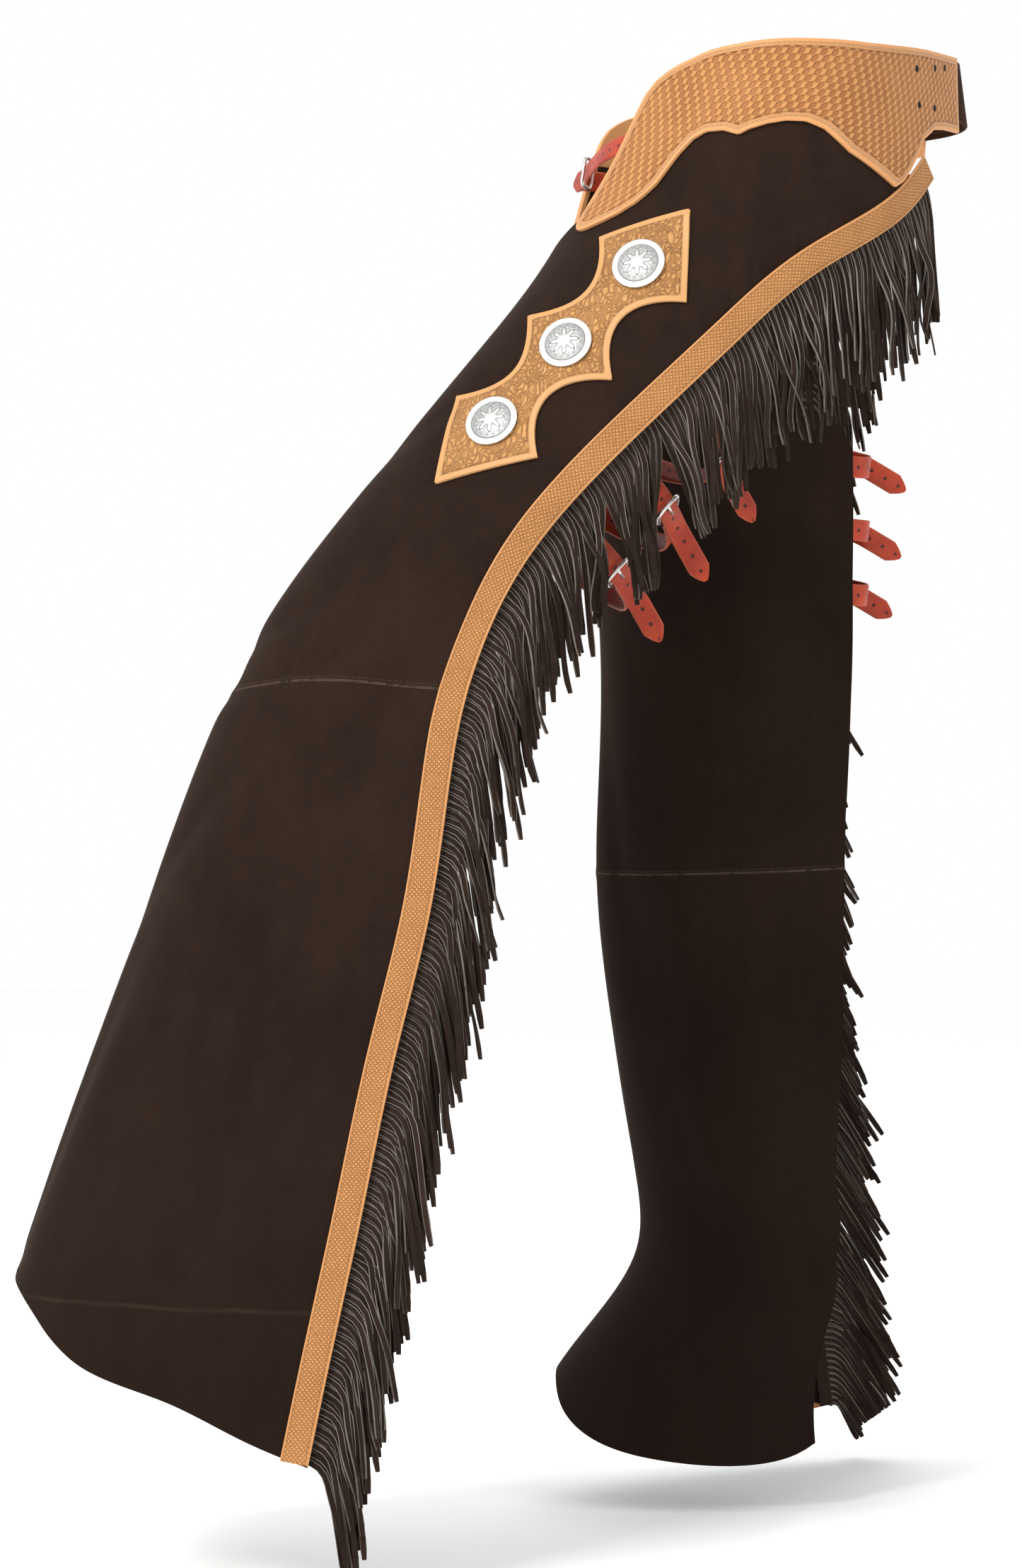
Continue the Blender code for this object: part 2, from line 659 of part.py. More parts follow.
def build_fringe(leg, spread, material, parent):
    """Narrow strip under the binding with its cut strands, one solid."""
    total, levels, points = leg.rim_length()
    travel = np.concatenate([[0.0], np.cumsum(np.linalg.norm(np.diff(points, axis=0), axis=1))])
    pitch = (total - 2.0 * FRINGE_MARGIN) / FRINGE_COUNT
    stops = [FRINGE_MARGIN * 0.4]
    for index in range(FRINGE_COUNT):
        middle = FRINGE_MARGIN + pitch * (index + 0.5)
        stops.append(middle - 0.5 * FRINGE_WIDTH)
        stops.append(middle + 0.5 * FRINGE_WIDTH)
    stops.append(total - FRINGE_MARGIN * 0.4)
    frames = [leg.rim_frame(float(np.interp(stop, travel, levels))) for stop in stops]
    columns = len(stops) - 1

    def place(across, along, side):
        spot, _, out, _ = frames[round(across * columns)]
        reach, level = walk(leg.form, spot, out, -0.0008 - FRINGE_STRIP * (1.0 - along), 2)
        return leg.form.lifted(reach, level, -FRINGE_LIFT + FRINGE_THICK * (side - 0.5))

    mesh = slab(columns, 1)
    roots = {}
    for face in mesh.faces:
        middle = face.calc_center_median()
        if middle.y > 0.49:
            roots[int((middle.x + 0.5) * columns)] = face
    chosen = []
    for index in range(FRINGE_COUNT):
        face = roots[2 * index + 1]
        middle = face.calc_center_median()
        signs = {}
        for vert in face.verts:
            signs[vert] = (1.0 if vert.co.x > middle.x else -1.0, 1.0 if vert.co.z > 0.5 else -1.0)
        chosen.append((index, face, signs))
    lay(mesh, place)
    mesh.normal_update()
    for index, face, signs in chosen:
        middle = FRINGE_MARGIN + pitch * (index + 0.5)
        frame = calm_frame(leg, float(np.interp(middle, travel, levels)))
        layer = 0.07 + 0.03 * (index % 2)
        length = FRINGE_LENGTH * (1.0 + 0.06 * math.sin(1.9 * index + 0.4))
        floor_room = leg.form.point(*frame[0])[2] - FLOOR_LEVEL
        length = min(length, max(0.045, floor_room * 1.02))
        stations, rim_way = strand_path(leg, frame, length, layer, spread)
        order = {}
        for vert in face.verts:
            order[tuple(round(value, 7) for value in vert.co)] = signs[vert]
        current = face
        for step_index, (point, way) in enumerate(stations[1:]):
            wide = unit(rim_way - way * float(np.dot(rim_way, way)))
            thick = unit(np.cross(way, wide))
            if float(np.dot(thick, frame[3])) < 0.0:
                thick = -thick
            twist = math.radians(STRAND_TWIST[step_index])
            wide, thick = (wide * math.cos(twist) + thick * math.sin(twist),
                           thick * math.cos(twist) - wide * math.sin(twist))
            grown = bmesh.ops.extrude_discrete_faces(mesh, faces=[current])
            current = grown["faces"][0]
            marks = [order[tuple(round(value, 7) for value in vert.co)] for vert in current.verts]
            order = {}
            for vert, (wide_sign, thick_sign) in zip(current.verts, marks):
                place_at = point + wide * (0.5 * STRAND_WIDTH * wide_sign)
                place_at = place_at + thick * (0.5 * FRINGE_THICK * thick_sign)
                vert.co = place_at
                order[tuple(round(value, 7) for value in vert.co)] = (wide_sign, thick_sign)
    finish(leg.name + "_fringe", mesh, material, parent)


def patch_half_width(at):
    """Half width of the three diamond patch along its length."""
    if at < -PATCH_PITCH:
        part = (at + PATCH_PITCH + PATCH_TOP_TIP) / PATCH_TOP_TIP
        return PATCH_HALF * part
    if at > PATCH_PITCH:
        part = (PATCH_PITCH + PATCH_LOW_TIP - at) / PATCH_LOW_TIP
        return PATCH_HALF * part
    part = (at + PATCH_PITCH) / PATCH_PITCH
    part = part - math.floor(part)
    return PATCH_NECK + (PATCH_HALF - PATCH_NECK) * (1.0 - 2.0 * part) ** 2


def build_patch(leg, centre, axis, material, silver, parent):
    """Three diamond patch and its three domed conchos."""
    form = leg.form
    axis = np.array(axis) * np.array([form.side, 1.0, 1.0])
    start = -PATCH_PITCH - PATCH_TOP_TIP + 0.0012
    end = PATCH_PITCH + PATCH_LOW_TIP - 0.0012
    stops = [start]
    for first, second, count in (
            (start, -PATCH_PITCH, 3), (-PATCH_PITCH, 0.0, 8), (0.0, PATCH_PITCH, 8), (PATCH_PITCH, end, 3)):
        for index in range(count):
            stops.append(first + (second - first) * (index + 1) / count)
    columns = len(stops) - 1
    middles = []
    for stop in stops:
        steps = max(2, int(abs(stop) / 0.015))
        middles.append(walk(form, centre, axis, stop, steps))
    lift = SUEDE + GAP + 0.0003

    def place(across, along, side):
        column = round(across * columns)
        spot = middles[column]
        aside = unit(np.cross(axis, form.normal(*spot)))
        distance = patch_half_width(stops[column]) * (2.0 * along - 1.0)
        reach, level = walk(form, spot, aside, distance, 4)
        return form.lifted(reach, level, lift + PATCH_THICK * side)

    mesh = slab(columns, PATCH_ROWS)
    lay(mesh, place)
    finish(leg.name + "_patch", mesh, material, parent)
    for index, stop in enumerate((-PATCH_PITCH, 0.0, PATCH_PITCH)):
        steps = max(2, int(abs(stop) / 0.015))
        spot = walk(form, centre, axis, stop, steps)
        facing = form.normal(*spot)
        ahead = unit(axis - facing * float(np.dot(axis, facing)))
        aside = np.cross(facing, ahead)
        seat = form.lifted(spot[0], spot[1], lift + PATCH_THICK + GAP)
        concho = finish("%s_concho_%d" % (leg.name, index + 1), concho_mesh(), silver, parent)
        turn = Matrix((ahead, aside, facing)).transposed()
        concho.matrix_world = Matrix.Translation(Vector(seat)) @ turn.to_4x4()


def concho_mesh():
    """Domed disc with a plain rim, flat behind."""
    mesh = bmesh.new()
    profile = (
        (CONCHO_RADIUS - 0.0006, 0.0),
        (CONCHO_RADIUS, 0.0010),
        (CONCHO_RADIUS - 0.0030, 0.0022),
        (CONCHO_RADIUS * 0.52, CONCHO_RISE - 0.0008),
    )
    ring = [mesh.verts.new((radius, 0.0, height)) for radius, height in profile]
    edges = [mesh.edges.new(pair) for pair in zip(ring[:-1], ring[1:])]
    bmesh.ops.spin(mesh, geom=ring + edges, cent=(0.0, 0.0, 0.0), axis=(0.0, 0.0, 1.0),
                   angle=2.0 * math.pi, steps=CONCHO_SIDES, use_merge=True)
    bmesh.ops.remove_doubles(mesh, verts=mesh.verts[:], dist=0.00005)
    rims = [edge for edge in mesh.edges if edge.is_boundary]
    bmesh.ops.holes_fill(mesh, edges=rims)
    top = max(mesh.faces, key=lambda face: face.calc_center_median().z)
    bmesh.ops.poke(mesh, faces=[top], offset=0.0)
    peak = max(mesh.verts, key=lambda vert: vert.co.z - vert.co.xy.length)
    peak.co.z = CONCHO_RISE
    return mesh


def ribbon(name, frames, width, thick, material, parent):
    """Strap through a list of centre, across and up, with a width factor."""
    columns = len(frames) - 1

    def place(across, along, side):
        centre, wide, up, factor = frames[round(across * columns)]
        return centre + wide * (width * factor * (along - 0.5)) + up * (thick * (side - 0.5))

    mesh = slab(columns, 1)
    lay(mesh, place)
    return finish(name, mesh, material, parent)


class StrapRoute:
    """Centre line of a strap with its way, its across and its up."""

    def __init__(self, knots, ups):
        knots = np.array(knots)
        ups = np.array(ups)
        chord = np.concatenate([[0.0], np.cumsum(np.linalg.norm(np.diff(knots, axis=0), axis=1))])
        self.length = float(chord[-1])
        self.marks = chord
        self.at = np.linspace(0.0, self.length, 200)
        self.points = np.stack([curve(chord, knots[:, axis], self.at) for axis in range(3)], axis=1)
        self.ups = np.stack([curve(chord, ups[:, axis], self.at) for axis in range(3)], axis=1)
        self.ways = np.gradient(self.points, self.at, axis=0)

    def read(self, distance):
        """Centre, way, across and up at a distance."""
        centre = np.array([np.interp(distance, self.at, self.points[:, axis]) for axis in range(3)])
        way = unit(np.array([np.interp(distance, self.at, self.ways[:, axis]) for axis in range(3)]))
        up = np.array([np.interp(distance, self.at, self.ups[:, axis]) for axis in range(3)])
        up = unit(up - way * float(np.dot(up, way)))
        return centre, way, np.cross(up, way), up


def buckle_mesh():
    """Square frame of wire with a short prong that lies on the strap."""
    half_long = 0.5 * BUCKLE_LENGTH
    half_wide = 0.5 * BUCKLE_INNER + BUCKLE_WIRE
    corner = 0.0030
    outer = (
        (-half_long, -0.0013), (-half_long, -half_wide + corner), (-half_long + corner, -half_wide),
        (half_long - corner, -half_wide), (half_long, -half_wide + corner),
        (half_long, half_wide - corner), (half_long - corner, half_wide),
        (-half_long + corner, half_wide), (-half_long, half_wide - corner), (-half_long, 0.0013),
    )
    inner = []
    for along, across in outer:
        inset_long = half_long - BUCKLE_WIRE
        inset_wide = half_wide - BUCKLE_WIRE
        inner.append((min(max(along, -inset_long), inset_long), min(max(across, -inset_wide), inset_wide)))
    inner[2] = (inner[2][0] + 0.0006, inner[2][1])
    inner[3] = (inner[3][0] - 0.0006, inner[3][1])
    inner[6] = (inner[6][0] - 0.0006, inner[6][1])
    inner[7] = (inner[7][0] + 0.0006, inner[7][1])
    mesh = bmesh.new()
    outer_verts = [mesh.verts.new((along, across, -0.5 * BUCKLE_WIRE)) for along, across in outer]
    inner_verts = [mesh.verts.new((along, across, -0.5 * BUCKLE_WIRE)) for along, across in inner]
    count = len(outer)
    for index in range(count):
        after = (index + 1) % count
        mesh.faces.new((outer_verts[index], outer_verts[after], inner_verts[after], inner_verts[index]))
    raised = bmesh.ops.extrude_face_region(mesh, geom=mesh.faces[:])
    verts = [item for item in raised["geom"] if isinstance(item, bmesh.types.BMVert)]
    bmesh.ops.translate(mesh, verts=verts, vec=(0.0, 0.0, BUCKLE_WIRE))
    root = None
    for face in mesh.faces:
        middle = face.calc_center_median()
        narrow = abs(middle.y) < 0.0002 and abs(middle.z) < 0.0002
        if narrow and -half_long + 0.001 < middle.x < -half_long + BUCKLE_WIRE + 0.0005:
            root = face
    prong = bmesh.ops.extrude_discrete_faces(mesh, faces=[root])
    tip = prong["faces"][0]
    for vert in tip.verts:
        vert.co.x += PRONG_LENGTH
        vert.co.z = vert.co.z * 0.55 + PRONG_LENGTH * math.tan(BUCKLE_LEAN) - 0.0011
        vert.co.y *= 0.8
    return mesh


def place_buckle(name, route, distance, metal, parent):
    """Set a buckle over a strap, its front bar above and its heel bar below."""
    centre, way, across, up = route.read(distance)
    middle = centre - up * 0.0003
    turn = Matrix((way, across, up)).transposed().to_4x4()
    lean = Matrix.Rotation(BUCKLE_LEAN, 4, "Y")
    buckle = finish(name, buckle_mesh(), metal, parent)
    buckle.matrix_world = Matrix.Translation(Vector(middle)) @ turn @ lean


def strap_frames(route, start, end, count, sink=None):
    """Frames of a strap along a route, sunk below it by a function."""
    frames = []
    for index in range(count + 1):
        distance = start + (end - start) * index / count
        centre, _, across, up = route.read(distance)
        if sink is not None:
            centre = centre - up * sink(distance)
        frames.append((centre, across, up, 1.0))
    return frames


def free_end(route, start, direction, length, count):
    """Frames of a loose strap end that leaves its route with a pointed tip."""
    centre, way, across, up = route.read(start)
    direction = unit(np.array(direction))
    frames = []
    step = length / count
    for index in range(count):
        part = smooth((index + 0.5) / count * 1.7)
        heading = unit(way * (1.0 - part) + direction * part)
        centre = centre + heading * step
        wide = unit(across - heading * float(np.dot(across, heading)))
        raised = unit(np.cross(heading, wide))
        if float(np.dot(raised, up)) < 0.0:
            raised = -raised
        factor = 1.0
        if index == count - 1:
            factor = 0.30
        frames.append((centre.copy(), wide, raised, factor))
    last = frames.pop()
    before = frames[-1]
    frames.append((before[0] * 0.42 + last[0] * 0.58, last[1], last[2], 0.88))
    frames.append(last)
    return frames


def build_leg_straps(leg, rows, back, depth, tip, leather, metal, parent):
    """Three straps behind the thigh, each a billet, a buckle and a chape."""
    form = leg.form
    back = unit(np.array(back))
    tip = np.array(tip) * np.array([form.side, 1.0, 1.0])
    outer_lift = -(FRINGE_LIFT + 0.5 * FRINGE_THICK + GAP + 0.5 * STRAP_THICK)
    inner_lift = -(0.0013 + 0.5 * STRAP_THICK)
    for index, (rim_level, inner_level, run) in enumerate(rows):
        spot, _, out, facing = leg.rim_frame(rim_level)
        lap = walk(form, spot, out, -0.013, 2)
        first = form.lifted(lap[0], lap[1], outer_lift)
        rim = form.lifted(spot[0], spot[1], outer_lift)
        inner_spot = (leg.inner_reach(inner_level), inner_level)
        inner_lap = (inner_spot[0] + 0.020, inner_level)
        end = form.lifted(inner_spot[0], inner_spot[1], inner_lift)
        last = form.lifted(inner_lap[0], inner_lap[1], inner_lift)
        middle = 0.5 * (rim + end)
        half = 0.5 * (rim - end)
        knots = [first, rim]
        ups = [form.normal(*lap), facing]
        for angle in (24.0, 46.0, 68.0, 90.0, 112.0, 134.0, 156.0):
            turn = math.radians(angle)
            bulge = depth * math.sin(turn)
            knots.append(middle + half * math.cos(turn) + back * bulge)
            ups.append(unit(half * (math.cos(turn) / float(np.linalg.norm(half)))
                            + back * (math.sin(turn) * float(np.linalg.norm(half)) / depth)))
        knots += [end, last]
        ups += [form.normal(*inner_spot), form.normal(*inner_lap)]
        route = StrapRoute(knots, ups)
        rim_at = route.marks[1]
        buckle_at = rim_at + run
        frames = strap_frames(route, 0.0, buckle_at + 0.010, 8)
        frames += free_end(route, buckle_at + 0.010, tip, TIP_LENGTH, 5)
        number = index + 1
        ribbon("%s_billet_%d" % (leg.name, number), frames, STRAP_WIDTH, STRAP_THICK, leather, parent)
        place_buckle("%s_buckle_%d" % (leg.name, number), route, buckle_at, metal, parent)
        chape_at = buckle_at + CHAPE_CLEAR

        def sink(distance, begin=chape_at):
            return (STRAP_THICK + GAP) * (1.0 - smooth((distance - begin) / 0.06))

        frames = strap_frames(route, chape_at, route.length, 11, sink)
        ribbon("%s_chape_%d" % (leg.name, number), frames, STRAP_WIDTH, STRAP_THICK, leather, parent)


def waist_route(left, right, level_at, lift, reaches):
    """Route across the waist from the left leg's surface to the right's."""
    knots = []
    ups = []
    for form, line in ((left.form, reaches), (right.form, reaches[::-1])):
        for reach in line:
            level = level_at(reach)
            knots.append(form.lifted(reach, level, lift))
            ups.append(form.normal(reach, level))
    return StrapRoute(knots, ups)


def build_front_strap(left, right, leather, metal, parent):
    """Short strap that joins the two yokes across the front."""
    def level_at(reach):
        return -0.0560 - 0.0120 * smooth((0.045 - reach) / 0.130)

    lift = -0.0009 - 0.5 * STRAP_THICK
    route = waist_route(left, right, level_at, lift, (0.046, 0.034, 0.020, -0.010, -0.040, -0.068))
    buckle_at = 0.118
    frames = strap_frames(route, 0.0, buckle_at + 0.010, 9)
    tip = unit(route.read(buckle_at + 0.05)[1] + np.array([0.0, -0.16, -0.14]))
    frames += free_end(route, buckle_at + 0.010, tip, 0.040, 5)
    ribbon("front_billet", frames, 0.015, STRAP_THICK, leather, parent)
    place_buckle("front_buckle", route, buckle_at, metal, parent)
    chape_at = buckle_at + CHAPE_CLEAR

    def sink(distance):
        return (STRAP_THICK + GAP) * (1.0 - smooth((distance - chape_at) / 0.05))

    frames = strap_frames(route, chape_at, route.length, 9, sink)
    ribbon("front_chape", frames, 0.015, STRAP_THICK, leather, parent)


def build_back_band(left, right, leather, parent):
    """Dark band that joins the two yoke ends behind."""
    middle_level = -0.0080
    route = waist_route(left, right, lambda reach: middle_level, SUEDE - 0.5 * BAND_THICK,
                        (0.314, 0.326, 0.338, 0.352))
    frames = strap_frames(route, 0.0, route.length, 14)
    ribbon("back_band", frames, BAND_HEIGHT, BAND_THICK, leather, parent)


def fold(form, rows):
    """Raise or sink the leather along soft folds."""
    lifted = form.table.copy()
    for row, level in enumerate(form.levels):
        for column, reach in enumerate(form.reaches):
            rise = 0.0
            for spot_reach, spot_level, lean, half_length, half_width, height in rows:
                aside = reach - spot_reach
                above = level - spot_level
                if abs(aside) > 0.30 or abs(above) > 0.30:
                    continue
                turn = math.radians(lean)
                along = above * math.cos(turn) + aside * math.sin(turn)
                across = aside * math.cos(turn) - above * math.sin(turn)
                rise += height * math.exp(-(along / half_length) ** 2 - (across / half_width) ** 2)
            if abs(rise) > 0.00002:
                lifted[row, column] += form.normal(reach, level) * rise
    form.table = lifted


def main():
    """Build the whole garment."""
    for item in list(bpy.data.objects):
        bpy.data.objects.remove(item, do_unlink=True)
    suede = finish_material("dark_suede", (0.028, 0.016, 0.011), 0.92, 0.0)
    fringe_suede = finish_material("fringe_suede", (0.034, 0.020, 0.014), 0.90, 0.0)
    tooled = finish_material("tooled_leather", (0.62, 0.33, 0.13), 0.55, 0.0)
    edging = finish_material("edge_leather", (0.58, 0.30, 0.11), 0.55, 0.0)
    patch_leather = finish_material("patch_leather", (0.60, 0.31, 0.12), 0.55, 0.0)
    red_leather = finish_material("strap_leather", (0.52, 0.075, 0.020), 0.45, 0.0)
    band_leather = finish_material("band_leather", (0.030, 0.014, 0.010), 0.60, 0.0)
    silver = finish_material("silver", (0.82, 0.81, 0.78), 0.25, 1.0)
    steel = finish_material("buckle_steel", (0.70, 0.69, 0.66), 0.30, 1.0)
    waist = bpy.data.objects.new("waist_centre", None)
    bpy.context.scene.collection.objects.link(waist)
    left_form = LegForm(LEFT_SECTIONS, LEFT_EDGE, 1.0)
    right_form = LegForm(RIGHT_SECTIONS, RIGHT_EDGE, -1.0)
    fold(left_form, LEFT_FOLDS)
    fold(right_form, RIGHT_FOLDS)
    left = Leg("left", left_form, LEFT_INNER, LEFT_KNEE, LEFT_HEM)
    right = Leg("right", right_form, RIGHT_INNER, RIGHT_KNEE, RIGHT_HEM)
    for leg, spread in ((left, LEFT_SPREAD), (right, RIGHT_SPREAD)):
        build_panels(leg, suede, waist)
        build_yoke(leg, tooled, waist)
        build_binding(leg, edging, waist)
        build_fringe(leg, spread, fringe_suede, waist)
    build_patch(left, (PATCH_REACH, PATCH_LEVEL), LEFT_PATCH_AXIS, patch_leather, silver, waist)
    build_patch(right, (RIGHT_PATCH_REACH, RIGHT_PATCH_LEVEL), RIGHT_PATCH_AXIS,
                patch_leather, silver, waist)
    build_leg_straps(left, LEFT_STRAPS, LEFT_STRAP_BACK, LEFT_STRAP_DEPTH, LEFT_TIP_DIRECTION,
                     red_leather, steel, waist)
    build_leg_straps(right, RIGHT_STRAPS, RIGHT_STRAP_BACK, RIGHT_STRAP_DEPTH,
                     RIGHT_TIP_DIRECTION, red_leather, steel, waist)
    build_front_strap(left, right, red_leather, steel, waist)
    build_back_band(left, right, band_leather, waist)
    bpy.context.view_layer.update()


if __name__ == "__main__":
    main()
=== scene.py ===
"""Looks of a pair of fringed suede chaps, worn in mid stride.

Every piece lies on two leg surfaces that are read by reach round the leg and by
level, in metres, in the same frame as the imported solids.
"""

import logging
import math
from dataclasses import dataclass, field
from enum import Enum
from typing import Callable, Optional, Sequence, Union

import bmesh
import bpy
import numpy as np
from mathutils import Matrix, Vector


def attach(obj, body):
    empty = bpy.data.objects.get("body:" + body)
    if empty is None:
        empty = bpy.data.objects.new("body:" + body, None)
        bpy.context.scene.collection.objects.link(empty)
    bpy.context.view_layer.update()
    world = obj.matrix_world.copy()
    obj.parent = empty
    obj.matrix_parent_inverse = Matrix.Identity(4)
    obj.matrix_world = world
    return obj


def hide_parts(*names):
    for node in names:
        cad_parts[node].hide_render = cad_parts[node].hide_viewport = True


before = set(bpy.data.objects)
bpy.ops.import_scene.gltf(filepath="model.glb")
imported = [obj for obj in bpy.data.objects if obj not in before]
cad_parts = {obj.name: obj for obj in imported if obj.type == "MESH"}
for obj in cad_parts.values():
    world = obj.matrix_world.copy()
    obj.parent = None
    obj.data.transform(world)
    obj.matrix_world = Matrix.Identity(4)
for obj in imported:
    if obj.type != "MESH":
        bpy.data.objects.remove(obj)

Array = np.ndarray
Colour = tuple[float, float, float]
Rows = Sequence[Sequence[float]]
Spot = tuple[float, float]
Placer = Callable[[Array, Array, Array], Array]

LOG = logging.getLogger("chaps")
BODY = "root"
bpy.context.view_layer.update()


# ---------------------------------------------------------------- surfaces


@dataclass(frozen=True)
class TableSteps:
    """Resolution and reach of a leg's surface table, in metres.

    Args:
        level_step: from one level cut to the next.
        reach_step: from one reach to the next.
        top: highest level.
        low: lowest level.
        reach_out: furthest reach from the front line to the outer side.
        reach_in: furthest reach to the inner side.
        fine: how many points smooth lines are read at.
    """

    level_step: float = 0.006
    reach_step: float = 0.005
    top: float = 0.060
    low: float = -1.110
    reach_out: float = 0.520
    reach_in: float = 0.440
    fine: int = 240


STEPS = TableSteps()

# level, then side and back of five points: outer end, side, front line, inner bend and inner end
LEFT_SECTIONS: Rows = (
    (0.050, 0.035, 0.128, 0.169, 0.000, 0.085, -0.114, 0.045, -0.128, 0.000, -0.132),
    (-0.050, 0.040, 0.138, 0.179, -0.008, 0.090, -0.126, 0.045, -0.134, 0.000, -0.137),
    (-0.130, 0.075, 0.130, 0.188, -0.030, 0.098, -0.164, 0.055, -0.160, 0.022, -0.138),
    (-0.220, 0.158, 0.020, 0.194, -0.118, 0.107, -0.234, 0.054, -0.206, 0.028, -0.118),
    (-0.310, 0.190, -0.095, 0.200, -0.212, 0.115, -0.308, 0.052, -0.270, 0.026, -0.156),
    (-0.390, 0.210, -0.168, 0.205, -0.282, 0.122, -0.368, 0.056, -0.328, 0.030, -0.196),
    (-0.460, 0.228, -0.207, 0.211, -0.322, 0.128, -0.405, 0.060, -0.364, 0.032, -0.224),
    (-0.600, 0.262, -0.236, 0.228, -0.370, 0.134, -0.458, 0.060, -0.416, 0.030, -0.280),
    (-0.760, 0.296, -0.276, 0.248, -0.428, 0.139, -0.517, 0.058, -0.472, 0.024, -0.336),
    (-0.920, 0.325, -0.316, 0.268, -0.484, 0.143, -0.572, 0.054, -0.526, 0.018, -0.378),
    (-1.080, 0.350, -0.356, 0.286, -0.538, 0.147, -0.627, 0.050, -0.580, 0.012, -0.416),
)

RIGHT_SECTIONS: Rows = (
    (0.050, 0.035, 0.128, 0.169, 0.000, 0.085, -0.114, 0.045, -0.128, 0.000, -0.132),
    (-0.050, 0.040, 0.138, 0.179, -0.008, 0.090, -0.126, 0.045, -0.134, 0.000, -0.137),
    (-0.130, 0.075, 0.134, 0.188, -0.010, 0.098, -0.138, 0.055, -0.137, 0.020, -0.105),
    (-0.220, 0.150, 0.110, 0.194, -0.010, 0.108, -0.128, 0.042, -0.098, 0.020, 0.010),
    (-0.310, 0.178, 0.092, 0.193, -0.012, 0.112, -0.117, 0.036, -0.072, 0.030, 0.056),
    (-0.400, 0.192, 0.084, 0.191, -0.020, 0.114, -0.109, 0.036, -0.060, 0.036, 0.064),
    (-0.490, 0.206, 0.082, 0.191, -0.024, 0.116, -0.109, 0.040, -0.058, 0.040, 0.064),
    (-0.575, 0.218, 0.085, 0.193, -0.028, 0.118, -0.111, 0.044, -0.058, 0.042, 0.064),
    (-0.700, 0.240, 0.096, 0.202, -0.024, 0.122, -0.098, 0.048, -0.050, 0.040, 0.062),
    (-0.800, 0.262, 0.110, 0.214, -0.018, 0.126, -0.083, 0.052, -0.040, 0.038, 0.056),
    (-0.865, 0.276, 0.120, 0.224, -0.018, 0.130, -0.081, 0.053, -0.036, 0.037, 0.052),
    (-0.945, 0.292, 0.130, 0.238, -0.042, 0.134, -0.134, 0.052, -0.080, 0.035, 0.048),
    (-1.080, 0.312, 0.142, 0.252, -0.076, 0.140, -0.186, 0.050, -0.128, 0.032, 0.042),
)

# level and back
LEFT_EDGE: Rows = (
    (-0.085, 0.093), (-0.118, 0.061), (-0.150, 0.010), (-0.201, -0.051), (-0.254, -0.107),
    (-0.306, -0.160), (-0.359, -0.203), (-0.411, -0.230), (-0.464, -0.248), (-0.516, -0.258),
    (-0.593, -0.271), (-0.694, -0.297), (-0.796, -0.3205), (-0.896, -0.344), (-0.958, -0.358),
)

RIGHT_EDGE: Rows = (
    (-0.085, 0.093), (-0.118, 0.084), (-0.160, 0.070), (-0.220, 0.055), (-0.300, 0.045),
    (-0.400, 0.040), (-0.500, 0.040), (-0.575, 0.043), (-0.700, 0.055), (-0.800, 0.068),
    (-0.900, 0.082), (-0.990, 0.096),
)

# reach, level, lean from upright in degrees, half length, half width, rise
LEFT_FOLDS: Rows = (
    (0.085, -0.099, 84.0, 0.045, 0.014, -0.0025),
    (0.150, -0.470, 20.0, 0.110, 0.028, -0.0060),
    (-0.020, -0.440, 75.0, 0.060, 0.016, -0.0040),
    (0.060, -0.650, 6.0, 0.150, 0.030, 0.0050),
    (0.170, -0.780, -4.0, 0.140, 0.030, -0.0060),
    (-0.110, -0.600, 10.0, 0.140, 0.032, 0.0050),
    (0.100, -0.900, 88.0, 0.110, 0.022, 0.0040),
)

RIGHT_FOLDS: Rows = (
    (-0.090, -0.330, 70.0, 0.070, 0.020, -0.0045),
    (-0.150, -0.470, 8.0, 0.110, 0.026, 0.0040),
    (0.120, -0.500, 16.0, 0.110, 0.028, -0.0060),
    (-0.060, -0.660, 10.0, 0.130, 0.030, -0.0045),
    (-0.130, -0.850, 62.0, 0.090, 0.024, -0.0055),
    (0.150, -0.800, -4.0, 0.140, 0.030, 0.0060),
)

# The same columns, for the finer creases that only the looks carry
LEFT_CREASES: Rows = (
    (0.020, -0.405, 66.0, 0.055, 0.009, -0.0024),
    (0.070, -0.432, 74.0, 0.060, 0.008, -0.0020),
    (-0.060, -0.462, 80.0, 0.050, 0.009, -0.0026),
    (0.110, -0.520, 58.0, 0.060, 0.011, 0.0022),
    (0.035, -0.540, 28.0, 0.080, 0.012, -0.0020),
    (0.125, -0.640, 12.0, 0.110, 0.013, -0.0026),
    (0.015, -0.745, 7.0, 0.120, 0.014, -0.0030),
    (0.095, -0.760, 3.0, 0.130, 0.015, 0.0026),
    (0.205, -0.700, 4.0, 0.120, 0.012, -0.0018),
    (-0.060, -0.700, -6.0, 0.110, 0.014, 0.0024),
    (-0.150, -0.560, -8.0, 0.090, 0.013, -0.0026),
    (-0.150, -0.380, 30.0, 0.070, 0.012, 0.0022),
    (0.160, -0.330, 42.0, 0.070, 0.011, 0.0018),
    (0.030, -0.260, 52.0, 0.060, 0.012, -0.0016),
    (0.175, -0.130, 62.0, 0.050, 0.010, -0.0016),
    (0.120, -0.120, 78.0, 0.040, 0.008, 0.0012),
    (0.250, -0.860, -3.0, 0.070, 0.012, 0.0020),
    (0.040, -0.830, 82.0, 0.090, 0.009, -0.0014),
)

